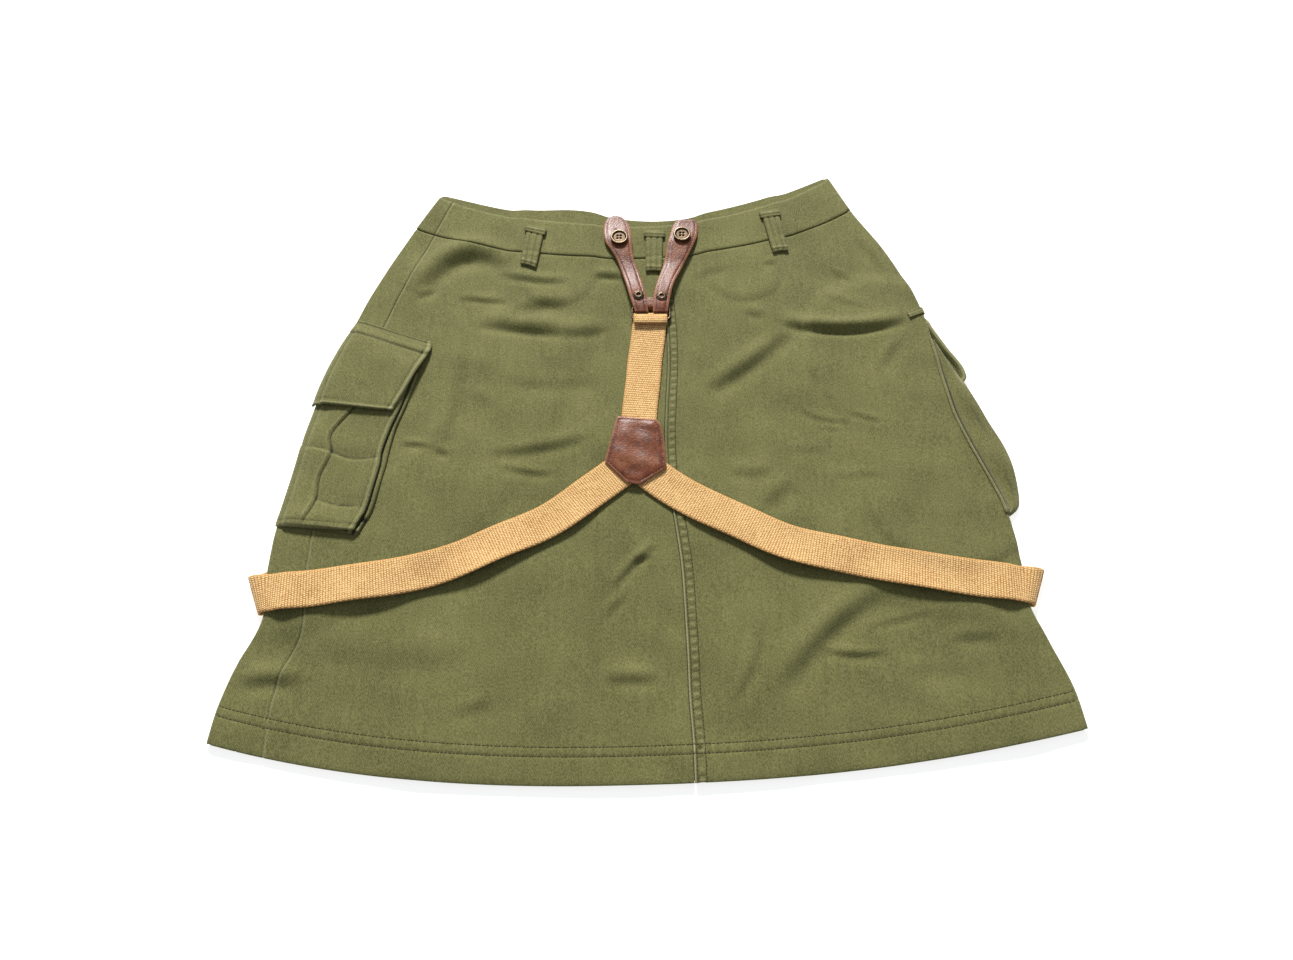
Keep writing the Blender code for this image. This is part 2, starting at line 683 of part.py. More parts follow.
def build_brass():
    """Build the ring of wire, the two buttons and the two eyelets."""
    curve = bpy.data.curves.new("wire_ring", "CURVE")
    curve.dimensions = "3D"
    curve.bevel_depth = RING_WIRE * MM
    curve.bevel_resolution = 2
    spline = curve.splines.new("POLY")
    points = []
    corner = 2.4
    for quarter, (cx, cy) in enumerate(((1, 1), (-1, 1), (-1, -1), (1, -1))):
        for step in range(4):
            turn = math.radians(90 * quarter + 30 * step)
            points.append((
                RING_CENTRE[0] + cx * (RING_WIDTH / 2 - RING_WIRE - corner) + corner * math.cos(turn),
                RING_CENTRE[1] + cy * (RING_HEIGHT / 2 - RING_WIRE - corner) + corner * math.sin(turn),
                RING_LEVEL,
            ))
    spline.points.add(len(points) - 1)
    for point, (x, y, z) in zip(spline.points, points):
        point.co = ((x - ORIGIN_X) * MM, (y - ORIGIN_Y) * MM, z * MM, 1.0)
    spline.use_cyclic_u = True
    curve.materials.append(new_material(*BRASS))
    ring = bpy.data.objects.new("wire_ring", curve)
    bpy.data.collections[COLLECTION].objects.link(ring)

    radius = BUTTON_RADIUS
    button = (
        (0.0, 1.7), (radius * 0.62, 1.7), (radius * 0.72, 2.5), (radius * 0.84, BUTTON_HEIGHT),
        (radius * 0.95, 2.6), (radius, 1.8), (radius * 0.9, 0.7), (radius * 0.35, 0.0), (0.0, 0.0),
    )
    eyelet = (
        (EYELET_HOLE, 0.0), (EYELET_HOLE, 0.9), (EYELET_HOLE + 0.6, 1.3),
        (EYELET_RADIUS - 0.7, 1.3), (EYELET_RADIUS, 0.7), (EYELET_RADIUS, 0.0),
    )
    over_head = TAB_LIFT + TAB_OVER_LOOP + LEATHER / 2 + CLEAR
    for name, (x, y) in (("left_button", LEFT_BUTTON), ("right_button", RIGHT_BUTTON)):
        level = highest_near(x, y, radius) + over_head
        turned(name, button[::-1], (x, y, level), 20, BRASS)
    level = TAB_FOOT_LEVEL + LEATHER / 2 + CLEAR
    for name, (x, y) in (("left_eyelet", LEFT_EYELET), ("right_eyelet", RIGHT_EYELET)):
        turned(name, eyelet, (x, y, level), 16, BRASS)


def highest_near(x, y, radius):
    """Give the highest level of the back within a radius of a place."""
    turns = np.linspace(0, 2 * np.pi, 12)
    ring_x = np.concatenate([[x], x + radius * np.cos(turns)])
    ring_y = np.concatenate([[y], y + radius * np.sin(turns)])
    return float(on_back(ring_x, ring_y, 0.0)[:, 2].max())


def build_left_pocket():
    """Build the left pocket: a bellows patch that stands off the back, and its flap."""
    table = np.array(LEFT_POCKET_ROWS, float)
    grid = []
    for k, (outer_y, inner_y, front_x, sewn_x) in enumerate(table):
        edge = float(left_edge(height_at(np.array(-285.0), np.array(outer_y))))
        radius = 2.6
        flat = np.linspace(edge + radius + 1.0, front_x, 6)
        x = np.concatenate([[edge - 0.8, edge, edge + 1.3, edge + radius], flat, [sewn_x - 1.2, sewn_x]])
        lift = np.full(len(x), POCKET_DEPTH)
        lift[0] = 2.2
        lift[1] = 4.2
        lift[-2] = 3.0
        lift[-1] = 1.7
        if k == 0:
            lift = np.full(len(x), 1.7)
        y = outer_y + (inner_y - outer_y) * np.clip((x - edge) / (front_x - edge), 0, 1)
        grid.append(on_back(x, y, lift))
    sheet("left_pocket", np.array(grid), WALL, TWILL)
    table = np.array(LEFT_FLAP_ROWS, float)
    grid = []
    for outer_y, inner_y, inner_x, lift in table[::-1]:
        edge = float(left_edge(height_at(np.array(-275.0), np.array(outer_y))))
        x = np.concatenate([[edge, edge + 1.3, edge + 2.6], np.linspace(edge + 4.0, inner_x, 7)])
        y = outer_y + (inner_y - outer_y) * np.clip((x - edge) / (inner_x - edge), 0, 1)
        grid.append(on_back(x, y, np.full(len(x), lift)))
    sheet("left_pocket_flap", np.array(grid), FLAP_THICK, TWILL, 0.0)


def build_right_pocket():
    """Build the right pocket, turned under: bellows at the side, front on the floor, flap below."""
    table = np.array(RIGHT_POCKET_ROWS, float)
    grid = []
    for y, outer_x, top_x in table:
        high = 1.7 * float(smooth_step(8.0, 40.0, y)) + WALL / 2
        edge = float(right_edge(height_at(np.array(outer_x - 15.0), np.array(y))))
        sewn = on_back(np.array([edge - 8.0, edge - 3.0]), np.array([y, y]), 1.35)
        rows = [sewn[0], sewn[1], (edge + 2.5, y, sewn[1][2] - 1.8)]
        rows.append((top_x, y, high + 3.1))
        rows.append((outer_x - 1.0, y, high + 2.3))
        rows.append((outer_x, y, high + 1.2))
        rows.append((outer_x - 1.2, y, high + 0.2))
        for step in np.linspace(0.0, 1.0, 6):
            rows.append((outer_x - 4.0 - step * (RIGHT_POCKET_WIDTH - 4.0), y - 6.0 * step, high))
        grid.append([tuple(float(c) for c in row) for row in rows])
    sheet("right_pocket", np.array(grid), WALL, TWILL, 0.0)
    grid = []
    for y, outer_x in RIGHT_FLAP_ROWS[::-1]:
        share = np.linspace(0.0, 1.0, 6)
        x = outer_x - share * RIGHT_FLAP_WIDTH
        grid.append(np.stack([x, y - RIGHT_FLAP_LEAN * share, np.full(6, 0.6)], axis=1))
    sheet("right_pocket_flap", np.array(grid)[:, ::-1], WALL, TWILL, 0.0)


def build_front_tabs():
    """Build the plain leather ends of the straps on the front waistband, each with its button."""
    for name, x in zip(("front_left_tab", "front_right_tab"), FRONT_TAB_X):
        share = np.linspace(0.0, 1.0, 6)[:, None]
        aside = np.linspace(-FRONT_TAB_HALF, FRONT_TAB_HALF, 3)[None, :]
        y = front_tab_top(x) - FRONT_TAB_LENGTH * (1 - share)
        grid = np.stack(np.broadcast_arrays(x + aside, y, FRONT_TAB_LEVEL), axis=-1)
        sheet(name, grid, LEATHER, HIDE, 0.0)
    flat = ((0.0, 0.0), (7.2, 0.0), (7.5, 0.3), (7.5, 1.0), (7.0, 1.3), (0.0, 1.3))
    for name, x in zip(("front_left_button", "front_right_button"), FRONT_TAB_X):
        turned(name, flat, (x, front_tab_top(x) - 16.0, 0.0), 16, BRASS)


def main():
    """Clear the scene and build the skirt piece by piece."""
    for item in list(bpy.data.objects):
        bpy.data.objects.remove(item)
    collection = bpy.data.collections.new(COLLECTION)
    bpy.context.scene.collection.children.link(collection)
    build_body()
    build_belt_loops()
    build_straps()
    build_leather()
    build_brass()
    build_left_pocket()
    build_right_pocket()
    build_front_tabs()


main()
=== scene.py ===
"""Looks of the suspender skirt, laid flat on its front with the waist at the top.

Lengths are millimetres in the axes of the sizes below. A mesh is moved to the part's origin and
scaled to metres when it is made. X runs across the back of the skirt to the right, Y runs from
the hem to the waist, and Z is up.
"""

import logging
import math
from dataclasses import dataclass
from enum import Enum
from typing import Any, Sequence

import bpy
import numpy as np
from numpy.typing import NDArray
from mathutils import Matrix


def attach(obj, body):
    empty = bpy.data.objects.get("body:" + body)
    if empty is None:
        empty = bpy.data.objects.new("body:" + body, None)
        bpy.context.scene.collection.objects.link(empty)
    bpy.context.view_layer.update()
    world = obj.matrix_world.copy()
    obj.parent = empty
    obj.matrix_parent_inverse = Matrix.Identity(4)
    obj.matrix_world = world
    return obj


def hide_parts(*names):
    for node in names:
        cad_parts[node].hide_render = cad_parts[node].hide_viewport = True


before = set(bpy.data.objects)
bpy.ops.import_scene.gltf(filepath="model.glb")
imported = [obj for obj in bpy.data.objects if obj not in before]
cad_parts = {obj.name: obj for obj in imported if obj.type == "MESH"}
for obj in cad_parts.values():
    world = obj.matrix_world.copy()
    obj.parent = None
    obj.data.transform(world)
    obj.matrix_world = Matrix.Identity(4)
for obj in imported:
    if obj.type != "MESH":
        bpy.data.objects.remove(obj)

Array = NDArray[np.float64]
Colour = tuple[float, float, float]
Table = tuple[tuple[float, ...], ...]
log = logging.getLogger("skirt")

MM = 0.001
ORIGIN = (-0.5, -4.78, 0.0)


# Curves and surfaces


def smooth_through(knots: Any, values: Any, at: Any) -> Array:
    """Read a smooth curve through knots: cubic pieces whose slopes are the mean slopes.

    Args:
        knots: where the values stand, rising.
        values: numbers or rows of numbers, one for each knot.
        at: where to read the curve.

    Returns:
        The value at each place.
    """
    knots = np.asarray(knots, float)
    values = np.asarray(values, float)
    slopes = np.gradient(values, knots, axis=0)
    at = np.clip(np.asarray(at, float), knots[0], knots[-1])
    index = np.clip(np.searchsorted(knots, at) - 1, 0, len(knots) - 2)
    tail = (1,) * (values.ndim - 1)
    span = (knots[index + 1] - knots[index]).reshape(np.shape(index) + tail)
    share = (at - knots[index]).reshape(np.shape(index) + tail) / span
    square = share * share
    cube = square * share
    return (
        values[index] * (2 * cube - 3 * square + 1)
        + values[index + 1] * (3 * square - 2 * cube)
        + slopes[index] * span * (cube - 2 * square + share)
        + slopes[index + 1] * span * (cube - square)
    )


def smooth_step(low: float, high: float, at: Any) -> Array:
    """Rise from 0 to 1 between low and high: 3s² − 2s³ of the share s."""
    share = np.clip((np.asarray(at, float) - low) / (high - low), 0.0, 1.0)
    return share * share * (3.0 - 2.0 * share)


def bell(distance: Any, reach: float) -> Array:
    """Give a bell curve: e to the power of minus the square of distance over reach."""
    return np.exp(-((np.asarray(distance, float) / reach) ** 2))


def resample(points: Any, step: float) -> Array:
    """Read a smooth curve through a route at even steps.

    Args:
        points: the route's points, in two or three axes.
        step: about how far apart the new points are.

    Returns:
        The new points.
    """
    points = np.asarray(points, float)
    reach = np.concatenate([[0.0], np.cumsum(np.linalg.norm(np.diff(points, axis=0), axis=1))])
    at = np.linspace(0.0, reach[-1], max(3, int(round(reach[-1] / step)) + 1))
    return smooth_through(reach, points, at)


def curve_points(row: Sequence[float], count: int) -> Array:
    """Give points on the arc that starts, passes near the middle and ends at x, y pairs."""
    share = np.linspace(0.0, 1.0, count)[:, None]
    start, middle, end = np.asarray(row[:6], float).reshape(3, 2)
    handle = 2.0 * middle - 0.5 * (start + end)
    return (1 - share) ** 2 * start + 2 * share * (1 - share) * handle + share ** 2 * end


def distance_to_path(x: Array, y: Array, path: Array) -> tuple[Array, Array, Array]:
    """Measure how places lie to a path.

    Args:
        x: the places' x.
        y: the places' y.
        path: the path's points.

    Returns:
        The shortest distance, the share of the path's length there, and the distance to the
        left of the path's direction.
    """
    best = np.full(np.shape(x), 1e9)
    share = np.zeros(np.shape(x))
    aside = np.zeros(np.shape(x))
    last = len(path) - 1
    for index in range(last):
        start = path[index]
        along = path[index + 1] - start
        length = float(along @ along)
        part = np.clip(((x - start[0]) * along[0] + (y - start[1]) * along[1]) / length, 0, 1)
        gap = np.hypot(x - start[0] - part * along[0], y - start[1] - part * along[1])
        left = ((y - start[1]) * along[0] - (x - start[0]) * along[1]) / math.sqrt(length)
        nearer = gap < best
        best = np.where(nearer, gap, best)
        share = np.where(nearer, (index + part) / last, share)
        aside = np.where(nearer, left, aside)
    return best, share, aside


def even_stops(grid: Array, axis: int, step: float) -> Array:
    """Give index positions along an axis of a grid that stand about step apart on the surface."""
    gaps = np.linalg.norm(np.diff(grid[..., :3], axis=axis), axis=-1).mean(axis=1 - axis)
    reach = np.concatenate([[0.0], np.cumsum(gaps)])
    count = max(3, int(round(reach[-1] / step)) + 1)
    return np.interp(np.linspace(0.0, reach[-1], count), reach, np.arange(len(reach)))


def refine(grid: Array, row_step: float, column_step: float) -> Array:
    """Read a smooth surface through a coarse grid of points.

    Args:
        grid: rows and columns of points; more numbers than three travel with each point.
        row_step: about how far apart the new rows are.
        column_step: about how far apart the new columns are.

    Returns:
        The finer grid.
    """
    rows, columns = even_stops(grid, 0, row_step), even_stops(grid, 1, column_step)
    down = smooth_through(np.arange(grid.shape[0]), grid, rows)
    across = smooth_through(np.arange(grid.shape[1]), np.swapaxes(down, 0, 1), columns)
    return np.swapaxes(across, 0, 1)


def unit(vectors: Array) -> Array:
    """Bring vectors to a length of one."""
    return vectors / np.maximum(np.linalg.norm(vectors, axis=-1, keepdims=True), 1e-9)


def surface_normals(grid: Array) -> Array:
    """Give a grid's normals: along the columns crossed with along the rows."""
    return unit(np.cross(np.gradient(grid, axis=1), np.gradient(grid, axis=0)))


# Shader nodes


class Value:
    """A number, colour or vector on its way between shader nodes, with arithmetic."""

    def __init__(self, graph: "Graph", socket: bpy.types.NodeSocket) -> None:
        """Hold the output socket that the value comes from."""
        self.graph = graph
        self.socket = socket

    def __add__(self, other: Any) -> "Value":
        """Add."""
        return self.graph.math("ADD", self, other)

    __radd__ = __add__

    def __sub__(self, other: Any) -> "Value":
        """Take other away."""
        return self.graph.math("SUBTRACT", self, other)

    def __rsub__(self, other: Any) -> "Value":
        """Take this away from other."""
        return self.graph.math("SUBTRACT", other, self)

    def __mul__(self, other: Any) -> "Value":
        """Multiply."""
        return self.graph.math("MULTIPLY", self, other)

    __rmul__ = __mul__

    def __truediv__(self, other: Any) -> "Value":
        """Divide."""
        return self.graph.math("DIVIDE", self, other)

    def step(self, low: float, high: float) -> "Value":
        """Rise smoothly from 0 to 1 while this goes from low to high."""
        sizes = {"From Min": low, "From Max": high}
        return self.graph.value("MapRange", {"Value": self, **sizes}, interpolation_type="SMOOTHSTEP")


class Graph:
    """The nodes of one material, made one at a time and wired by value."""

    def __init__(self, name: str) -> None:
        """Start a material with its Principled shader."""
        self.material = bpy.data.materials.new(name)
        self.material.use_nodes = True
        self.tree = self.material.node_tree
        self.shader = self.tree.nodes["Principled BSDF"]

    def node(self, kind: str, values: dict[Any, Any], **settings: Any) -> bpy.types.Node:
        """Make one node.

        Args:
            kind: the node's type after ShaderNode.
            values: what goes into its inputs; a Value is wired and anything else is set.
            settings: the node's own properties.

        Returns:
            The node.
        """
        made = self.tree.nodes.new("ShaderNode" + kind)
        for key, setting in settings.items():
            setattr(made, key, setting)
        self.fill(made, values)
        return made

    def fill(self, made: bpy.types.Node, values: dict[Any, Any]) -> None:
        """Wire or set a node's inputs."""
        for key, value in values.items():
            if isinstance(value, Value):
                self.tree.links.new(value.socket, made.inputs[key])
            else:
                made.inputs[key].default_value = value

    def value(self, kind: str, values: dict[Any, Any], output: Any = 0, **settings: Any) -> Value:
        """Make one node and give the value of one of its outputs."""
        return Value(self, self.node(kind, values, **settings).outputs[output])

    def math(self, operation: str, *terms: Any) -> Value:
        """Work out one step of arithmetic."""
        return self.value("Math", dict(enumerate(terms)), operation=operation)

    def place(self, stretch: Colour = (1.0, 1.0, 1.0)) -> Value:
        """Give the place on the object in millimetres, stretched by the factors given."""
        where = self.value("TexCoord", {}, "Object")
        scale = tuple(factor / MM for factor in stretch)
        return self.value("VectorMath", {0: where, 1: scale}, operation="MULTIPLY")

    def noise(self, place: Value, size: float, detail: float = 2.0) -> Value:
        """Give soft noise about zero, between about -0.5 and 0.5, of a size in millimetres."""
        sizes = {"Vector": place, "Scale": 1.0 / size, "Detail": detail, "Roughness": 0.55}
        return self.value("TexNoise", sizes) - 0.5

    def mark(self, name: str) -> Value:
        """Read a number that the mesh carries at its points."""
        return self.value("Attribute", {}, "Fac", attribute_name=name)

    def blend(self, factor: Value, first: Any, second: Any) -> Value:
        """Mix two colours: first where the factor is 0, second where it is 1."""
        first, second = (c if isinstance(c, Value) else (*c, 1.0) for c in (first, second))
        return self.value("Mix", {0: factor, 6: first, 7: second}, 2, data_type="RGBA")

    def dress(
        self, colour: Value, roughness: Any, relief: Value, depth: float, **fixed: Any
    ) -> bpy.types.Material:
        """Wire the Principled shader.

        Args:
            colour: the base colour.
            roughness: a value or a number.
            relief: the height that the bump reads.
            depth: millimetres of bump for a height of one.
            fixed: numbers or colours set on the shader's own sockets, spaces as underscores.

        Returns:
            The material.
        """
        bump = self.value("Bump", {"Height": relief, "Strength": 1.0, "Distance": depth * MM})
        self.fill(self.shader, {"Base Color": colour, "Roughness": roughness, "Normal": bump})
        self.fill(self.shader, {key.replace("_", " "): value for key, value in fixed.items()})
        return self.material


# Finishes


@dataclass(frozen=True)
class Twill:
    """Washed olive cotton twill: mottled, with a fine diagonal rib, paler faded ridges with some painted
    highlights, and near black painted shade in grooves and gaps.
    """

    name: str = "olive_twill"
    slot: str = "twill"
    light: Colour = (0.250, 0.245, 0.092)
    dark: Colour = (0.082, 0.081, 0.022)
    worn_and_lit: Colour = (0.400, 0.385, 0.205)
    groove_shade: Colour = (0.020, 0.019, 0.006)
    rib: float = 1.5

    def material(self) -> bpy.types.Material:
        """Build the finish: tone = half + mottles + streaks + yarn, then faded ridges and painted highlights,
        and painted shade in grooves.
        """
        graph = Graph(self.name)
        place = graph.place()
        mottle = graph.noise(place, 60.0, 2.0) * 0.70 + graph.noise(place, 14.0, 2.0) * 0.22
        streak = graph.noise(graph.place((1.0, 0.12, 1.0)), 3.2) * 0.35
        yarn = graph.noise(graph.place((1.0, 0.60, 1.0)), 1.0, 1.0) * 1.7
        axes = graph.node("SeparateXYZ", {"Vector": place})
        x, y = Value(graph, axes.outputs[0]), Value(graph, axes.outputs[1])
        rib = graph.math("SINE", (x * 0.9 + y * 0.55) * (2 * math.pi / self.rib))
        tone = mottle + streak + yarn + rib * 0.05 + 0.5
        colour = graph.blend(tone.step(-0.35, 1.35), self.dark, self.light)
        # The mesh's mark: above zero for faded ridges and painted highlights, below zero for painted shade
        wear = graph.mark("wear")
        # Paler where the mark is high: faded ridges, and painted highlights on some raised places
        colour = graph.blend((wear + yarn * 0.12).step(0.05, 1.2), colour, self.worn_and_lit)
        # Near black painted shade where the mark is low: in sewn grooves, gaps and folds, and under edges
        colour = graph.blend((0.0 - wear).step(0.05, 1.1), colour, self.groove_shade)
        relief = rib * 0.35 + yarn * 0.8
        return graph.dress(
            colour, 0.92, relief, 0.12, Sheen_Weight=0.12, Sheen_Roughness=0.6, Specular_IOR_Level=0.2
        )


@dataclass(frozen=True)
class Webbing:
    """Tan cotton webbing: ribs across it, each a row of small floats set like bricks."""

    name: str = "tan_webbing"
    slot: str = "webbing"
    light: Colour = (0.98, 0.66, 0.300)
    dark: Colour = (0.40, 0.180, 0.048)
    shade: Colour = (0.58, 0.30, 0.095)
    rib: float = 2.2
    float_width: float = 1.6

    def material(self) -> bpy.types.Material:
        """Build the finish: height = rib arch times float arch, shifted half a float each rib; the colour
        follows the height too, darker where low, as painted shade between the floats.
        """
        graph = Graph(self.name)
        along, aside = graph.mark("along"), graph.mark("aside")
        place = graph.place()
        count = graph.math("FLOOR", along / self.rib)
        odd = graph.math("MODULO", count, 2.0)
        arch = graph.math("ABSOLUTE", graph.math("SINE", along * (math.pi / self.rib)))
        wave = graph.math("SINE", (aside / self.float_width + odd * 0.5) * (2 * math.pi)) * 0.5 + 0.5
        height = arch * (wave * 0.75 + 0.25)
        # Painted shade: the lower the weave, the darker its colour
        tone = height * 0.95 + graph.noise(place, 1.5, 1.0) * 0.9 + graph.noise(place, 24.0) * 0.35 + 0.08
        colour = graph.blend(tone.step(0.0, 0.75), self.dark, self.light)
        # Painted shade along the strap's edges, from the mesh's mark
        colour = graph.blend(graph.mark("wear").step(0.0, 1.0), colour, self.shade)
        return graph.dress(colour, 0.88, height, 0.30, Sheen_Weight=0.1, Specular_IOR_Level=0.25)


@dataclass(frozen=True)
class Hide:
    """Red-brown leather: fine grain, cloudy tone, scuffed paler at its rim, with painted highlights where the
    tabs narrow and bend and on the yoke's crown, and painted shade in sewn lines and the button hole.
    """

    name: str = "brown_leather"
    slot: str = "hide"
    deep: Colour = (0.090, 0.025, 0.012)
    body: Colour = (0.260, 0.074, 0.028)
    rubbed_and_lit: Colour = (0.430, 0.190, 0.090)
    pit_shade: Colour = (0.010, 0.005, 0.003)

    def material(self) -> bpy.types.Material:
        """Build the finish: cloudy tone, scuffed rims and painted highlights, painted shade in sewn lines and
        holes, grain of small cells.
        """
        graph = Graph(self.name)
        place = graph.place()
        cloud = graph.noise(place, 9.0, 4.0) + graph.noise(place, 2.4, 2.0) * 0.6
        cells = graph.value("TexVoronoi", {"Vector": place, "Scale": 0.95}, "Distance", feature="SMOOTH_F1")
        grain = cells + graph.noise(place, 3.0, 3.0) * 1.3
        colour = graph.blend((cloud + 0.5).step(0.1, 0.9), self.deep, self.body)
        wear = graph.mark("wear")
        # Paler: scuffed rims, and painted highlights on the tabs' narrow parts and the yoke's crown
        colour = graph.blend((wear + cloud * 0.5).step(0.1, 1.1), colour, self.rubbed_and_lit)
        # Near black painted shade in the sewn lines and the button hole
        colour = graph.blend((0.0 - wear).step(0.3, 1.0), colour, self.pit_shade)
        rough = cloud * 0.25 + 0.42
        return graph.dress(
            colour, rough, grain, 0.16, Coat_Weight=0.06, Coat_Roughness=0.30, Specular_IOR_Level=0.32
        )


@dataclass(frozen=True)
class Brass:
    """Aged brass: pale on what is scuffed and, as painted light, on the wire's top; very dark brown in the
    rim's recess, and the same dark as painted shade in the holes, in the eyelets and under the wire.
    """

    name: str = "aged_brass"
    slot: str = "brass"
    bright: Colour = (0.31, 0.235, 0.150)
    body: Colour = (0.100, 0.068, 0.042)
    deep: Colour = (0.018, 0.011, 0.007)

    def material(self) -> bpy.types.Material:
        """Build the finish: tone from the marks of the mesh and a little cloud."""
        graph = Graph(self.name)
        place = graph.place()
        cloud = graph.noise(place, 1.6, 3.0)
        wear = graph.mark("wear")
        colour = graph.blend((wear + cloud).step(0.1, 1.0), self.body, self.bright)
        # Very dark where the mark is low: the rim's recess, and painted shade in the holes, in the eyelets
        # and under the wire
        colour = graph.blend((0.0 - wear + cloud * 0.4).step(0.15, 0.9), colour, self.deep)
        rough = cloud * 0.35 + 0.42
        return graph.dress(colour, rough, cloud, 0.05, Metallic=0.85)


@dataclass(frozen=True)
class Thread:
    """Sewing thread in one tone."""

    name: str
    slot: str
    colour: Colour
    pale: Colour

    def material(self) -> bpy.types.Material:
        """Build the finish: two tones mixed by fine noise."""
        graph = Graph(self.name)
        noise = graph.noise(graph.place(), 0.5, 1.0)
        colour = graph.blend((noise + 0.5).step(0.2, 0.8), self.colour, self.pale)
        return graph.dress(colour, 0.8, noise, 0.03)


class Finish(Enum):
    """The finishes that a piece may have."""

    TWILL = Twill()
    WEBBING = Webbing()
    HIDE = Hide()
    BRASS = Brass()
    DARK_THREAD = Thread("dark_olive_thread", "twill", (0.030, 0.028, 0.008), (0.070, 0.064, 0.022))
    PALE_THREAD = Thread("pale_olive_thread", "twill", (0.30, 0.28, 0.12), (0.42, 0.40, 0.20))
    BROWN_THREAD = Thread("brown_thread", "hide", (0.030, 0.012, 0.010), (0.07, 0.03, 0.02))

    def material(self) -> bpy.types.Material:
        """Give the finish's material, made the first time that it is asked for."""
        return bpy.data.materials.get(self.value.name) or self.value.material()


# Meshes


@dataclass
class Solid:
    """Points, faces and marks of one closed piece, in millimetres."""

    points: Array
    faces: list[NDArray[np.int64]]
    marks: dict[str, Array]

    def make(
        self, name: str, finish: Finish, nodes: Sequence[str] = (), sharp: float = 60.0
    ) -> bpy.types.Object:
        """Put the piece into the scene and tell the frame about it.

        Args:
            name: the piece's name.
            finish: what it is made of.
            nodes: the CAD nodes that it stands for.
            sharp: degrees between faces past which an edge is drawn sharp.

        Returns:
            The object.
        """
        mesh = bpy.data.meshes.new(name)
        points = (self.points - ORIGIN) * MM
        faces = [face for group in self.faces for face in group.tolist()]
        mesh.from_pydata(points.tolist(), [], faces)
        for key, values in self.marks.items():
            layer = mesh.attributes.new(key, "FLOAT", "POINT")
            layer.data.foreach_set("value", np.ascontiguousarray(values, dtype=np.float32))
        mesh.shade_smooth()
        mesh.set_sharp_from_angle(angle=math.radians(sharp))
        mesh.materials.append(finish.material())
        item = bpy.data.objects.new(name, mesh)
        bpy.context.scene.collection.objects.link(item)
        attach(item, "root")
        if nodes:
            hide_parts(*nodes)
        count = sum(len(group) * (group.shape[1] - 2) for group in self.faces)
        log.info("%s: %d triangles", name, count)
        return item


def grid_faces(rows: int, columns: int) -> NDArray[np.int64]:
    """Give the four-cornered faces of a grid."""
    index = np.arange(rows * columns).reshape(rows, columns)
    return np.stack([index[:-1, :-1], index[:-1, 1:], index[1:, 1:], index[1:, :-1]], axis=-1).reshape(-1, 4)


def shell(grid: Array, thickness: float, centred: bool = False, **marks: Array) -> Solid:
    """Give a grid of points a wall with a rounded rim.

    The grid is the outer face, or the middle where centred. The inner face lies along the
    normals, and one row between them, pushed outwards, rounds the rim.

    Args:
        grid: rows and columns of points.
        thickness: the wall.
        centred: whether the grid is the wall's middle.
        marks: numbers for each point of the grid.

    Returns:
        The closed piece.
    """
    rows, columns = grid.shape[:2]
    total = rows * columns
    normal = surface_normals(grid)
    outer = grid + normal * (thickness / 2 if centred else 0.0)
    inner = outer - normal * thickness
    outer, inner, normal = (part.reshape(-1, 3) for part in (outer, inner, normal))
    index = np.arange(total).reshape(rows, columns)
    loop = np.concatenate([index[0, :-1], index[:-1, -1], index[-1, :0:-1], index[:0:-1, 0]])
    middle = (outer[loop] + inner[loop]) / 2
    along = np.roll(middle, -1, axis=0) - np.roll(middle, 1, axis=0)
    rim = middle + unit(np.cross(along, normal[loop])) * thickness * 0.42
    quads = grid_faces(rows, columns)
    after = np.roll(loop, -1)
    edge = 2 * total + np.arange(len(loop))
    edge_after = np.roll(edge, -1)
    faces = [
        quads,
        quads[:, ::-1] + total,
        np.stack([after, loop, edge, edge_after], axis=1),
        np.stack([edge_after, edge, loop + total, after + total], axis=1),
    ]
    flat = {key: np.broadcast_to(mark, (rows, columns)).reshape(-1) for key, mark in marks.items()}
    marks = {key: np.concatenate([mark, mark, mark[loop]]) for key, mark in flat.items()}
    return Solid(np.concatenate([outer, inner, rim]), faces, marks)


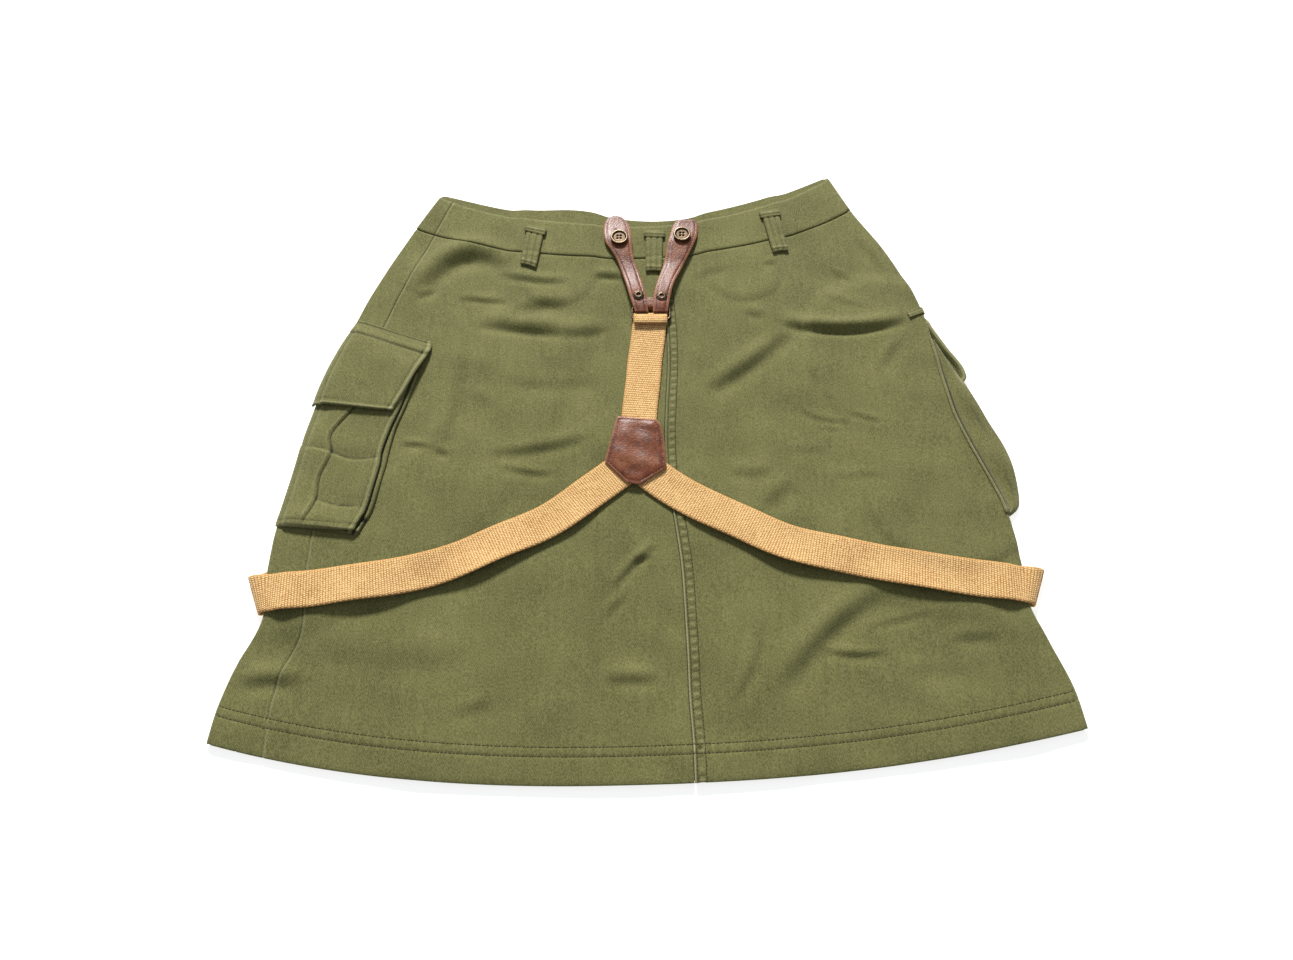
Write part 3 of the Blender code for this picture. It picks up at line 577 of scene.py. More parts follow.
def turned(profile: Array, steps: int, centre: Sequence[float], wear: Array) -> Solid:
    """Turn a profile about the vertical: a disc if it starts and ends at the axis, else a ring.

    Args:
        profile: radius and height, from below, outwards, up and in again.
        steps: points round.
        centre: where the axis stands.
        wear: one mark for each point of the profile, above zero where it is paler and below zero where it is
            darker, which in a hole is painted shade.

    Returns:
        The closed piece.
    """
    turn = np.linspace(0, 2 * np.pi, steps, endpoint=False)
    radius, level = profile[:, 0:1], profile[:, 1:2]
    grid = np.stack(np.broadcast_arrays(radius * np.cos(turn), radius * np.sin(turn), level), axis=-1)
    points = grid.reshape(-1, 3) + np.asarray(centre, float)
    marks = np.repeat(wear, steps)
    ring = np.arange(len(profile) * steps).reshape(-1, steps)
    across = np.roll(ring, -1, axis=1)
    solid_disc = profile[0, 0] < 0.01
    low, high = (ring[:-1], ring[1:]) if solid_disc else (ring, np.roll(ring, -1, axis=0))
    low_after, high_after = (across[:-1], across[1:]) if solid_disc else (across, np.roll(across, -1, axis=0))
    quads = np.stack([low, low_after, high_after, high], axis=-1).reshape(-1, 4)
    if not solid_disc:
        return Solid(points, [quads], {"wear": marks})
    quads = np.stack([low[1:-1], low_after[1:-1], high_after[1:-1], high[1:-1]], axis=-1).reshape(-1, 4)
    inner = steps
    points = np.concatenate([points[inner:-inner], points[:1], points[-1:]])
    marks = np.concatenate([marks[inner:-inner], marks[:1], marks[-1:]])
    first, last = len(points) - 2, len(points) - 1
    ring = ring[:-2]
    fans = [
        np.stack([np.full(steps, first), np.roll(ring[0], -1), ring[0]], axis=1),
        np.stack([np.full(steps, last), ring[-1], np.roll(ring[-1], -1)], axis=1),
    ]
    return Solid(points, [quads - inner, *fans], {"wear": marks})


def closed_tube(path: Array, radius: float, sides: int) -> Solid:
    """Carry a circle round a flat closed path: the middle plus out and up parts of the circle."""
    along = unit(np.roll(path, -1, axis=0) - np.roll(path, 1, axis=0))
    up = np.array([0.0, 0.0, 1.0])
    out = np.cross(along, up)
    turn = np.linspace(0, 2 * np.pi, sides, endpoint=False)[None, :, None]
    grid = path[:, None] + radius * (np.cos(turn) * out[:, None] + np.sin(turn) * up)
    ring = np.arange(len(path) * sides).reshape(-1, sides)
    nxt = np.roll(ring, -1, axis=0)
    quads = np.stack([ring, nxt, np.roll(nxt, -1, axis=1), np.roll(ring, -1, axis=1)], axis=-1)
    # Painted light on the top of the wire and painted shade under it
    wear = np.broadcast_to(0.5 * np.sin(turn[..., 0]), ring.shape).reshape(-1)
    return Solid(grid.reshape(-1, 3), [quads.reshape(-1, 4)], {"wear": wear})


def joined(parts: Sequence[Solid]) -> Solid:
    """Put several closed solids together as one piece."""
    faces, start = [], 0
    for part in parts:
        faces += [group + start for group in part.faces]
        start += len(part.points)
    keys = set.intersection(*(set(part.marks) for part in parts))
    marks = {key: np.concatenate([part.marks[key] for part in parts]) for key in sorted(keys)}
    return Solid(np.concatenate([part.points for part in parts]), faces, marks)


def stitch_grains(middles: Array, along: Array, normal: Array, length: float, width: float) -> Solid:
    """Lay one small grain of thread at each place: two four-sided rings between two end points.

    Args:
        middles: where the stitches lie.
        along: the direction of each one.
        normal: the surface's normal at each one.
        length: of a stitch.
        width: of its thread.

    Returns:
        All the grains as one piece.
    """
    along = unit(along)
    aside = unit(np.cross(normal, along))
    lift = np.cross(along, aside)
    turn = np.linspace(0, 2 * np.pi, 4, endpoint=False)
    ring = np.stack([np.zeros(4), np.cos(turn) * width / 2, np.sin(turn) * width / 2], axis=1)
    ends = np.array([[-length / 2, 0.0, -width * 0.3], [length / 2, 0.0, -width * 0.3]])
    rings = [ring + np.array([shift * length, 0.0, 0.0]) for shift in (-0.3, 0.3)]
    shape = np.concatenate([ends[:1], *rings, ends[1:]])
    points = (
        middles[:, None]
        + shape[None, :, 0:1] * along[:, None]
        + shape[None, :, 1:2] * aside[:, None]
        + shape[None, :, 2:3] * lift[:, None]
    )
    near, far = np.arange(1, 5), np.arange(5, 9)
    near_after, far_after = np.roll(near, -1), np.roll(far, -1)
    tips = np.concatenate([
        np.stack([np.zeros(4, int), near_after, near], axis=1),
        np.stack([np.full(4, 9), far, far_after], axis=1),
    ])
    sides = np.stack([near, near_after, far_after, far], axis=1)
    start = np.arange(len(middles))[:, None, None] * len(shape)
    faces = [(tips[None] + start).reshape(-1, 3), (sides[None] + start).reshape(-1, 4)]
    return Solid(points.reshape(-1, 3), faces, {"wear": np.zeros(len(middles) * len(shape))})


# The form of the laid skirt


@dataclass(frozen=True)
class SkirtForm:
    """The flattened tube that the panels make: its outline, layers, folds and seams."""

    hem_left_y: float = -261.0
    hem_right_y: float = -250.0
    waist_left_y: float = 259.0
    waist_right_y: float = 282.0
    side_edges: Table = (
        (0.00, -331.0, 330.0), (0.06, -327.0, 325.0), (0.12, -318.0, 314.0), (0.18, -305.0, 302.0),
        (0.25, -307.0, 301.0), (0.33, -306.0, 296.0), (0.43, -299.0, 278.0), (0.49, -295.0, 267.0),
        (0.56, -289.0, 260.0), (0.63, -281.0, 256.0), (0.70, -270.0, 250.0), (0.77, -258.0, 239.0),
        (0.84, -243.0, 222.0), (0.92, -224.0, 197.0), (1.00, -203.0, 177.0),
    )
    hem_dip: float = 35.0
    hem_dip_lean: float = -0.12
    waist_dip: float = 48.0
    waist_dip_lean: float = 0.10
    dip_power: float = 2.3
    left_seam: Table = ((0.0, 0.066), (0.1, 0.056), (0.3, 0.051), (0.9, 0.048), (1.0, 0.036))
    right_seam_under: float = 0.95
    centre_back: float = 0.551
    waist_seam: float = 0.926
    layers: float = 5.2
    front_rise: float = 11.0
    front_rise_left: float = 8.0
    hem_depth: float = 28.0
    hem_row: float = 21.0
    fell_width: float = 11.0
    fell_rows: tuple[float, float] = (2.7, 9.3)
    left_under: Table = ((-296, -135), (-240, -106), (-160, -40), (-110, 70), (-90, 130), (-86, 172))
    right_under: Table = ((294, -134), (235, -114), (170, -80), (118, 20), (92, 120), (88, 176))
    front_tab_x: tuple[float, float] = (-86.0, 88.0)
    # Each crease: start, middle and end (x, y), slope at the line, reach on the high side, which
    # is the left of its direction, and reach on the low side
    creases: Table = (
        (-212, 144, -176, 187, -133, 175, 0.62, 15, 10),
        (-213, 143, -205, 146, -196, 151, 0.35, 5, 4),
        (-139, 167, -107, 157, -76, 156, 0.55, 6, 4),
        (-174, 140, -151, 137, -130, 134, 0.50, 5, 3.5),
        (-154, 111, -111, 103, -81, 101, 0.62, 14, 5),
        (-85, 101, -58, 101, -38, 107, 0.35, 10, 6),
        (-129, 119, -99, 131, -75, 129, 0.30, 9, 9),
        (-181, 25, -184, 75, -188, 131, 0.22, 5, 5),
        (-166, 48, -163, 80, -171, 131, 0.42, 9, 5),
        (-172, -15, -172, 15, -164, 60, 0.38, 11, 10),
        (-210, -11, -199, -12, -188, -14, 0.65, 4, 3.5),
        (-182, -17, -176, -19, -170, -21, 0.50, 4, 4),
        (-134, -21, -92, -15, -54, -4, 0.38, 8, 6),
        (-125, -33, -99, -38, -82, -38, 0.45, 5, 4),
        (-50, 163, -38, 164, -22, 163, 0.55, 6, 4),
        (-125, 54, -95, 48, -41, 52, 0.13, 8, 8),
        (-156, 40, -145, 32, -133, 25, 0.16, 8, 8),
        (39, 160, 58, 168, 77, 173, 0.16, 6, 5),
        (87, 123, 96, 121, 104, 120, 0.32, 7, 6),
        (122, 111, 175, 103, 231, 113, 0.95, 9, 4.5),
        (53, 43, 88, 66, 125, 101, 0.50, 10, 9),
        (130, 24, 148, 13, 173, 10, 0.38, 4, 3.5),
        (172, 19, 186, 14, 200, 10, 0.42, 3.5, 3.5),
        (148, 7, 156, 3, 165, 3, 0.32, 3.5, 3.5),
        (197, 210, 212, 186, 222, 158, 0.28, 6, 6),
        (169, 173, 181, 165, 192, 158, 0.22, 5, 5),
        (160, 143, 178, 135, 196, 130, 0.20, 5, 5),
        (108, 177, 113, 178, 119, 179, 0.35, 4, 4),
        (96, -68, 108, -58, 120, -48, 0.28, 10, 10),
        (67, -35, 84, -38, 102, -36, 0.22, 8, 7),
        (119, -17, 135, -17, 150, -17, 0.14, 5, 5),
        (155, -42, 180, -41, 202, -42, 0.16, 5, 5),
        (207, 61, 214, 78, 226, 92, 0.28, 7, 7),
        (65, -229, 81, -201, 89, -167, 0.34, 6, 5),
        (101, -220, 143, -174, 186, -144, 0.42, 12, 10),
        (136, -190, 157, -194, 181, -193, 0.62, 5, 4),
        (172, -172, 198, -166, 222, -161, 0.22, 5, 4),
        (237, -181, 254, -180, 270, -181, 0.32, 7, 6),
        (195, -207, 222, -206, 248, -207, 0.12, 8, 8),
        (-28, -139, -12, -119, 5, -104, 0.62, 5, 4),
        (-12, -116, -4, -114, 4, -114, 0.42, 4, 3),
        (-34, -165, -28, -156, -21, -148, 0.38, 5, 4),
        (-33, -213, -12, -213, 7, -213, 0.38, 8, 6),
        (-313, -215, -290, -214, -268, -215, 0.42, 9, 8),
        (-149, -240, -133, -235, -117, -231, 0.22, 8, 8),
        (-255, -190, -200, -198, -130, -192, 0.12, 16, 14),
    )

    @property
    def length(self) -> float:
        """Give the length of the left side from hem to waist."""
        return self.waist_left_y - self.hem_left_y

    def side(self, height: Any, column: int) -> Array:
        """Give x of the left (1) or right (2) fold at a share of the height."""
        table = np.array(self.side_edges)
        return smooth_through(table[:, 0], table[:, column], height)

    def share_x(self, height: Any, share: Any) -> Array:
        """Give x at a share of the width."""
        left = self.side(height, 1)
        return left + share * (self.side(height, 2) - left)

    def seam_x(self, height: Any) -> Array:
        """Give x of the left side seam, which lies on the back."""
        table = np.array(self.left_seam)
        return self.share_x(height, np.interp(height, table[:, 0], table[:, 1]))

    def plan_y(self, x: Any, height: Any, under: bool = False) -> Array:
        """Give y on the line of equal height: straight between the sides, less the dip.

        Args:
            x: the places' x.
            height: their share of the height.
            under: whether they lie on the front layer, which rises near the waist.

        Returns:
            The places' y.
        """
        left = self.side(height, 1)
        across = (x - left) / (self.side(height, 2) - left)
        side = np.clip(2.0 * across - 1.0, -1.0, 1.0)
        ends = (1 - across) * (self.hem_left_y + self.length * height)
        ends = ends + across * (self.hem_right_y + (self.waist_right_y - self.hem_right_y) * height)
        depth = self.hem_dip + (self.waist_dip - self.hem_dip) * height
        lean = self.hem_dip_lean + (self.waist_dip_lean - self.hem_dip_lean) * height
        y = ends - depth * (1 - np.abs(side) ** self.dip_power) * (1 + lean * side)
        if under:
            rise = (
                self.front_rise * (1 - 0.55 * np.abs(side) ** 6)
                + self.front_rise_left * bell(side + 0.30, 0.20)
            )
            rise = rise - 3.0 * bell(side - 0.16, 0.22)
            y = y + rise * smooth_step(0.70, 1.0, height) + 2.5 * (1 - smooth_step(0.0, 0.1, height))
        return y

    def height_at(self, x: Any, y: Any) -> Array:
        """Find the share of the height of a place on the back, by repeated correction."""
        height = (y + 275.0) / 510.0
        for _ in range(12):
            height = height + (y - self.plan_y(x, height)) / 520.0
        return np.clip(height, -0.02, 1.02)

    def relief(self, x: Any, y: Any) -> Array:
        """Add up the back's folds.

        A crease is slope × distance × bell of the distance, so that it is high on one side of
        its line, low on the other, and turned away from the light between. Long swells and
        short crumples are sums of sines.
        """
        x, y = (np.asarray(part, float) for part in np.broadcast_arrays(x, y))
        relief = 0.5 * np.sin(x / 61.0 + y / 83.0) + 0.4 * np.sin(x / 37.0 - y / 52.0 + 1.0)
        relief = relief + 0.13 * np.sin(x / 9.0 + 1.3 * np.sin(y / 31.0)) * np.sin(y / 17.0 + x / 40.0)
        relief = relief + 0.10 * np.sin(y / 6.5 + 1.7 * np.sin(x / 23.0)) * np.sin(x / 21.0 - y / 50.0)
        relief = relief + 0.45 * np.sin(y / 13.0 + 1.5 * np.sin(x / 47.0)) * np.sin(x / 33.0 + y / 71.0)
        swell = np.sin(y / 7.5 + x / 19.0 + 1.3 * np.sin(x / 29.0)) * np.sin(x / 41.0 - y / 33.0 + 2.0)
        relief = np.array(relief + 0.28 * swell)
        for row in self.creases:
            path = curve_points(row, 7)
            slope, high, low = row[6:]
            reach = 2.7 * max(high, low)
            near = (x > path[:, 0].min() - reach) & (x < path[:, 0].max() + reach)
            near &= (y > path[:, 1].min() - reach) & (y < path[:, 1].max() + reach)
            if near.any():
                gap, share, aside = distance_to_path(x[near], y[near], path)
                fade = 0.15 + 0.85 * np.sin(np.pi * np.clip(share, 0, 1)) ** 0.6
                width = np.where(aside > 0, high, low)
                relief[near] += 1.25 * slope * aside * np.exp(-((gap / width) ** 2)) * fade
        return relief

    def front_tab_top(self, x: float) -> float:
        """Give y of the top of a front tab, just below the front band's edge."""
        return float(self.plan_y(np.array(x), np.array(1.0), under=True)) - 3.0

    def under_lift(self, x: Any, y: Any) -> Array:
        """Give how far the front layer is lifted by the straps, tabs and pocket below it."""
        x, y = np.broadcast_arrays(x, y)
        lift = np.zeros(np.shape(x))
        for route in (self.left_under, self.right_under):
            gap = distance_to_path(x, y, resample(route, 20.0))[0]
            lift = np.maximum(lift, 1.9 * (1 - smooth_step(36.0, 56.0, gap)))
        for middle in self.front_tab_x:
            top = self.front_tab_top(middle)
            gap = distance_to_path(x, y, np.array([[middle, top - 72.0], [middle, top]]))[0]
            lift = np.maximum(lift, 3.6 * (1 - smooth_step(30.0, 50.0, gap)))
        line = np.array([[250.0, -50.0], [246.0, 20.0], [212.0, 86.0]])
        gap = distance_to_path(x, y, line)[0]
        return np.maximum(lift, 3.5 * (1 - smooth_step(66.0, 86.0, gap)))

    def back_level(self, x: Any, y: Any) -> Array:
        """Give the height of the back layer's outer face."""
        return self.under_lift(x, y) + self.layers + self.relief(x, y)

    def past_seam(self, x: Any, height: Any) -> Array:
        """Give the distance to the right of the centre back seam."""
        return x - self.share_x(height, self.centre_back)

    def seam_steps(self, x: Any, height: Any) -> tuple[Array, Array]:
        """Work out the doubled cloth and its stitched lines.

        The hem, the band and the felled seam are steps. A stitched line is a narrow bell
        downwards, and the cloth between two lines puckers in short waves.

        Args:
            x: the places' x.
            height: their share of the height.

        Returns:
            How far the outer face rises, and how faded (above zero) or darkened by painted shade (below) it
            is.
        """
        up = height * self.length
        rise = 0.4 * (1 - smooth_step(self.hem_depth - 0.2, self.hem_depth + 1.6, up))
        rise = rise - 0.5 * bell(up, 0.9)
        rows = bell(up - self.hem_row, 0.8) + bell(up - self.hem_depth, 0.8)
        between = smooth_step(self.hem_row - 3, self.hem_row + 1, up)
        between = between * (1 - smooth_step(self.hem_depth - 1, self.hem_depth + 4, up))
        pucker = np.sin(x / 1.05 + 1.2 * np.sin(x / 13.0)) * between
        rise = rise - 0.45 * rows + 0.20 * pucker
        # Painted shade in the hem's sewn rows and in the pucker troughs; the hem's fold is paler, faded
        wear = 0.30 * bell(up, 1.4) - 0.50 * rows + 0.28 * pucker
        body = height < self.waist_seam
        past = self.past_seam(x, height)
        fell = smooth_step(0.2, 1.0, past) * (1 - smooth_step(self.fell_width, self.fell_width + 1.6, past))
        lines = sum(bell(past - row, 0.75) for row in self.fell_rows)
        rung = np.sin(up / 1.12 + 0.9 * np.sin(up / 19.0))
        inside = smooth_step(3.0, 4.6, past) * (1 - smooth_step(7.6, 9.2, past))
        ridge = bell(past - 1.0, 0.7)
        rubbed_and_lit = 0.45 + 0.45 * (1 - smooth_step(0.36, 0.46, height))
        rise = rise + body * (
            0.7 * fell + 0.40 * ridge - 0.45 * lines + 0.40 * rung * inside - 0.5 * bell(past, 0.35)
        )
        # The seam's ridge is paler, partly faded and partly a painted highlight; painted shade in its sewn
        # lines and between the rungs
        wear = wear + body * (rubbed_and_lit * ridge - 0.55 * lines + 0.65 * rung * inside)
        side = x - self.seam_x(height)
        rise = rise + 0.30 * bell(side - 1.6, 1.1) + 0.25 * bell(side + 1.4, 1.0) - 0.4 * bell(side, 0.5)
        wear = wear + 0.42 * bell(side - 1.5, 1.3) + 0.1 * bell(side + 3.0, 2.0)
        seam = (height - self.waist_seam) * self.length
        rise = (
            rise
            + 0.8 * (seam > 0)
            - 0.45 * bell(seam, 1.2) * (seam < 0)
            - 0.5 * bell(seam - 0.4, 1.0) * (seam > 0)
        )
        top = (1.0 - height) * self.length
        rise = rise - 0.9 * bell(top, 1.1)
        # A painted shadow along the band's top edge and painted shade in the waist seam; the fold below the
        # top is paler, faded
        wear = wear + 0.30 * bell(top - 2.4, 1.3) - 0.55 * bell(top, 0.8) - 0.35 * bell(seam, 1.0)
        return rise, wear

    def top_run(self, x: Any, height: Any) -> Array:
        """Give points of the back layer's outer face."""
        y = self.plan_y(x, height)
        z = self.back_level(x, y) + self.seam_steps(x, height)[0]
        return np.stack(np.broadcast_arrays(x, y, z), axis=-1)

    def bottom_run(self, x: Any, height: Any) -> Array:
        """Give points of the front layer's outer face, which rests on the floor."""
        y = self.plan_y(x, height, under=True)
        return np.stack(np.broadcast_arrays(x, y, self.under_lift(x, y)), axis=-1)

    def fold_size(self, side: int, height: Any) -> tuple[Array, Array, Array, Array]:
        """Give x and y of a side fold (side -1 or 1), the height of its middle and its radius."""
        x = self.side(height, 1 if side < 0 else 2)
        y = self.plan_y(x, height)
        inner = x - side * 5.0
        low = self.under_lift(inner, y)
        top = self.back_level(inner, y) + self.seam_steps(inner, height)[0]
        return x, y, (low + top) / 2, (top - low) / 2

    def fold_run(self, side: int, angle: Any, height: Any) -> Array:
        """Give points round a side fold: 90 is its top, 0 its outermost line, -90 its foot."""
        x, y, middle, radius = self.fold_size(side, height)
        turn = np.radians(angle)
        out = x - side * radius + side * radius * np.cos(turn)
        return np.stack(np.broadcast_arrays(out, y, middle + radius * np.sin(turn)), axis=-1)

    def on_back(self, x: Any, y: Any, lift: Any) -> Array:
        """Move places on the back outwards by lift, round the side folds where they reach them."""
        x, y, lift = (np.asarray(part, float) for part in np.broadcast_arrays(x, y, lift))
        height = self.height_at(x, y)
        level = self.back_level(x, y) + self.seam_steps(x, height)[0]
        result = np.stack([x, y, level + lift], axis=-1)
        for side in (-1, 1):
            edge, _, middle, radius = self.fold_size(side, height)
            depth = (edge - x) * side
            turn = np.clip(depth / radius, -0.4, 1.0) * np.pi / 2
            reach = radius + lift
            curved = np.stack(
                [edge - side * radius + side * reach * np.cos(turn), y, middle + reach * np.sin(turn)], -1
            )
            result = np.where((depth < radius)[..., None], curved, result)
        return result

    def smooth_back(self, x: Any, y: Any, lift: Any) -> Array:
        """Do as on_back does, over a cloth whose small creases are bridged."""
        spread = ((0, 0), (7, 0), (-7, 0), (0, 7), (0, -7))
        return np.mean([self.on_back(x + dx, y + dy, lift) - (dx, dy, 0) for dx, dy in spread], axis=0)


def columns_between(start: Any, end: Any, count: int) -> Array:
    """Give columns from start to end, where both are columns of rows."""
    return start + (end - start) * np.linspace(0.0, 1.0, count)[None, :]


@dataclass(frozen=True)
class SkirtBody:
    """The three panels and the waistband's two pieces."""

    form: SkirtForm
    wall: float = 1.2
    band_wall: float = 1.8
    seam_gap: float = 0.3
    waist_gap: float = 1.0
    row_step: float = 2.15
    column_step: float = 2.1
    cloth_area_front: float = 0.291
    hem_stops: tuple[float, ...] = (
        0, 0.7, 1.8, 5, 9, 13, 17, 19.2, 20.2, 21, 21.8, 22.8, 24.5, 26.2, 27.2, 28, 28.8, 29.8, 31.5,
    )
    band_stops: tuple[float, ...] = (0, 0.5, 1.2, 2.2, 3.4, 5, 7, 9)
    top_stops: tuple[float, ...] = (4.0, 3.0, 2.2, 1.5, 0.9, 0.4, 0.0)

    def panel_heights(self) -> Array:
        """Give the rows of a panel as a column, closer at the hem's lines and the waist seam."""
        seam = self.form.waist_seam * self.form.length - self.waist_gap / 2
        count = int((seam - 36.0) / self.row_step)
        rest = np.linspace(33.6, seam - 3.0, count)
        return (
            np.concatenate([self.hem_stops, rest, seam - np.array([1.8, 0.9, 0.0])]) / self.form.length
        )[:, None]

    def band_heights(self) -> Array:
        """Give the rows of the band as a column, closer at both edges."""
        seam = self.form.waist_seam * self.form.length + self.waist_gap / 2
        low = seam + np.array(self.band_stops)
        high = self.form.length - np.array(self.top_stops)
        rest = np.linspace(low[-1], high[0], 13)[1:-1]
        return (np.concatenate([low, rest, high]) / self.form.length)[:, None]

    def marks(self, grid_x: Array, heights: Array, on_top: Array) -> Array:
        """Give the fading and painted shade of the cloth where it lies on top, and none below."""
        return self.form.seam_steps(grid_x, heights)[1] * on_top

    def front_piece(self, heights: Array, under: int, top: int) -> tuple[Array, Array]:
        """Lay the front: along the floor, up round the left fold and on to the left seam.

        Args:
            heights: the rows.
            under: how many columns lie on the floor.
            top: how many columns lie on the back.

        Returns:
            The grid of points and its marks of fading and painted shade.
        """
        form, half = self.form, self.seam_gap / 2
        radius = form.fold_size(-1, heights)[3]
        left = form.side(heights, 1)
        start = form.share_x(heights, form.right_seam_under) - half
        floor = form.bottom_run(columns_between(start, left + radius + 4.0, under), heights)
        angles = np.linspace(-90, 90, 13)[None, :]
        fold = form.fold_run(-1, angles, heights)
        ease = form.plan_y(left, heights)
        fold[..., 1] = ease + (floor[:, -1:, 1] - ease) * (1 - smooth_step(-90, 90, angles))
        x = columns_between(left + radius + 2.0, form.seam_x(heights) - half, top)
        grid = np.concatenate([floor, fold, form.top_run(x, heights)], axis=1)
        on_top = np.concatenate([np.zeros(under), smooth_step(-30, 60, angles[0]), np.ones(top)])[None, :]
        return grid, self.marks(grid[..., 0], heights, on_top)

    def back_stops(self, heights: Array, start: Array, fell: bool) -> Array:
        """Give x of the back's columns, closer at the felled seam where the piece has one."""
        right = self.form.side(heights, 2) - self.form.fold_size(1, heights)[3] - 2.0
        near = np.array(
            [0, 0.35, 0.7, 1.1, 1.6, 2.2, 2.7, 3.2, 4.2, 5.4, 6.6, 7.8, 8.8, 9.3, 9.8, 10.8, 11.8, 12.8]
        )
        near = near if fell else np.array([0, 0.4, 0.9, 1.6, 2.6, 4.0])
        after = start + near[-1] + 2.0
        count = int((right - after).max() / self.column_step)
        return np.concatenate([start + near[None, :], columns_between(after, right, count)], axis=1)

    def back_right_piece(self, heights: Array, start: Array, fell: bool, under: int) -> tuple[Array, Array]:
        """Lay the back from a start line, round the right fold and under to the right seam."""
        form, half = self.form, self.seam_gap / 2
        x = self.back_stops(heights, start, fell)
        top = form.top_run(x, heights)
        angles = np.linspace(90, -90, 13)[None, :]
        fold = form.fold_run(1, angles, heights)
        right, radius = form.side(heights, 2), form.fold_size(1, heights)[3]
        end = form.share_x(heights, form.right_seam_under) + half
        floor = form.bottom_run(columns_between(right - radius - 3.0, end, under), heights)
        ease = form.plan_y(right, heights)
        fold[..., 1] = ease + (floor[:, :1, 1] - ease) * smooth_step(-90, 90, -angles)
        grid = np.concatenate([top, fold, floor], axis=1)
        on_top = np.concatenate(
            [np.ones(top.shape[1]), smooth_step(-30, 60, angles[0]), np.zeros(under)]
        )[None, :]
        return grid, self.marks(grid[..., 0], heights, on_top)

    def build(self) -> list[bpy.types.Object]:
        """Build the five pieces."""
        form, half = self.form, self.seam_gap / 2
        rows, band = self.panel_heights(), self.band_heights()
        grid, wear = self.front_piece(rows, 46, 16)
        front = shell(grid, self.wall, wear=wear).make("front_panel_cloth", Finish.TWILL, ["front_panel"])
        middle = form.share_x(rows, form.centre_back)
        start = form.seam_x(rows) + half
        inner = middle - half - 2.6
        count = int((inner - start).max() / self.column_step)
        edges = middle - half - np.array([[1.7, 1.0, 0.5, 0.0]])
        near = start + np.array([[0.0, 0.5, 1.1, 1.8, 2.6]])
        x = np.concatenate([near, columns_between(start + 4.2, inner, count), edges], axis=1)
        grid = form.top_run(x, rows)
        wear = self.marks(grid[..., 0], rows, np.ones((1, 1)))
        left = shell(grid, self.wall, wear=wear).make("back_left_cloth", Finish.TWILL, ["back_left_panel"])
        grid, wear = self.back_right_piece(rows, middle + half, True, 8)
        right = shell(grid, self.wall, wear=wear).make("back_right_cloth", Finish.TWILL, ["back_right_panel"])
        grid, wear = self.front_piece(band, 60, 8)
        low = shell(grid, self.band_wall, wear=wear).make(
            "front_band_cloth", Finish.TWILL, ["front_waistband"]
        )
        grid, wear = self.back_right_piece(band, form.seam_x(band) + half, False, 8)
        high = shell(grid, self.band_wall, wear=wear).make(
            "back_band_cloth", Finish.TWILL, ["back_waistband"]
        )
        return [front, left, right, low, high]


@dataclass(frozen=True)
class BeltLoops:
    """The three loops of the back: a band of cloth with two sewn rows and tacked ends."""

    form: SkirtForm
    width: float = 15.2
    thick: float = 1.4
    row_at: float = 2.9
    bar: float = 8.2
    # Name, top x and y, end x and y, slope of the ends
    places: tuple[tuple[str, float, float, float, float, float], ...] = (
        ("belt_loop_left", -106.5, 217.5, -112.0, 172.5, -0.34),
        ("belt_loop_centre", 5.4, 216.0, 4.8, 169.0, -0.03),
        ("belt_loop_right", 115.5, 238.0, 124.0, 190.0, 0.26),
    )

    def grid(self, top: tuple[float, float], end: tuple[float, float], lean: float) -> tuple[Array, Array]:
        """Lay one loop: an arch along it, a wider tacked bar at its top and a rolled lip below.

        Args:
            top: the middle of its upper end.
            end: the middle of its lower end.
            lean: the slope of both ends.

        Returns:
            The grid of points and its marks of fading and painted shade.
        """
        share = np.linspace(0.0, 1.0, 56)[:, None]
        aside = np.linspace(-0.5, 0.5, 27)[None, :] * self.width
        along = share * math.dist(top, end)
        left = along.max() - along
        bar = 1 - smooth_step(self.bar - 0.6, self.bar + 0.6, left)
        wide = 0.96 + 0.06 * share + 0.27 * bar
        x = end[0] + (top[0] - end[0]) * share + aside * wide
        y = end[1] + (top[1] - end[1]) * share + lean * aside
        y = y + 0.7 * np.cos(aside / 4.4) * bell(share, 0.06)
        lines = bell(np.abs(aside) - self.row_at, 0.7) * (1 - bar)
        sides = bell(np.abs(aside) - self.width / 2, 0.8)
        tacks = bell(along - 2.2, 0.8) + bell(left - 1.5, 0.7) + bell(left - 5.8, 0.7)
        under = bell(left - self.bar - 0.9, 0.8)
        ends = bell(along, 1.2) + bell(left, 0.8)
        rolls = bell(along - 4.4, 1.3) + bell(left - 3.6, 1.3)
        lift = 2.3 + 0.9 * np.sin(np.pi * share) + 0.5 * bar - 0.45 * lines - 0.35 * sides
        lift = lift - 0.4 * tacks - 0.5 * under + 0.35 * rolls - 0.5 * ends
        height = self.form.height_at(x, y)
        level = self.form.smooth_back(
            x, y, lift + 0.8 * (1 - smooth_step(-0.012, 0.004, height - self.form.waist_seam))
        )
        # Painted shade along the sewn rows, at the tacks and the sides, and a painted shadow under the bar;
        # the middle, the side ribs and the rolled ends are paler
        wear = 0.25 * bell(aside, 1.4) + 0.45 * rolls - 0.40 * lines - 0.5 * tacks - 0.4 * sides - 0.7 * under
        return level, wear + 0.3 * bell(np.abs(aside) - 5.6, 0.9) * (1 - bar)

    def build(self) -> list[bpy.types.Object]:
        made = []
        for name, top_x, top_y, end_x, end_y, lean in self.places:
            level, wear = self.grid((top_x, top_y), (end_x, end_y), lean)
            loop = shell(level, self.thick, wear=wear).make(name + "_cloth", Finish.TWILL, [name])
            made.append(loop)
        return made


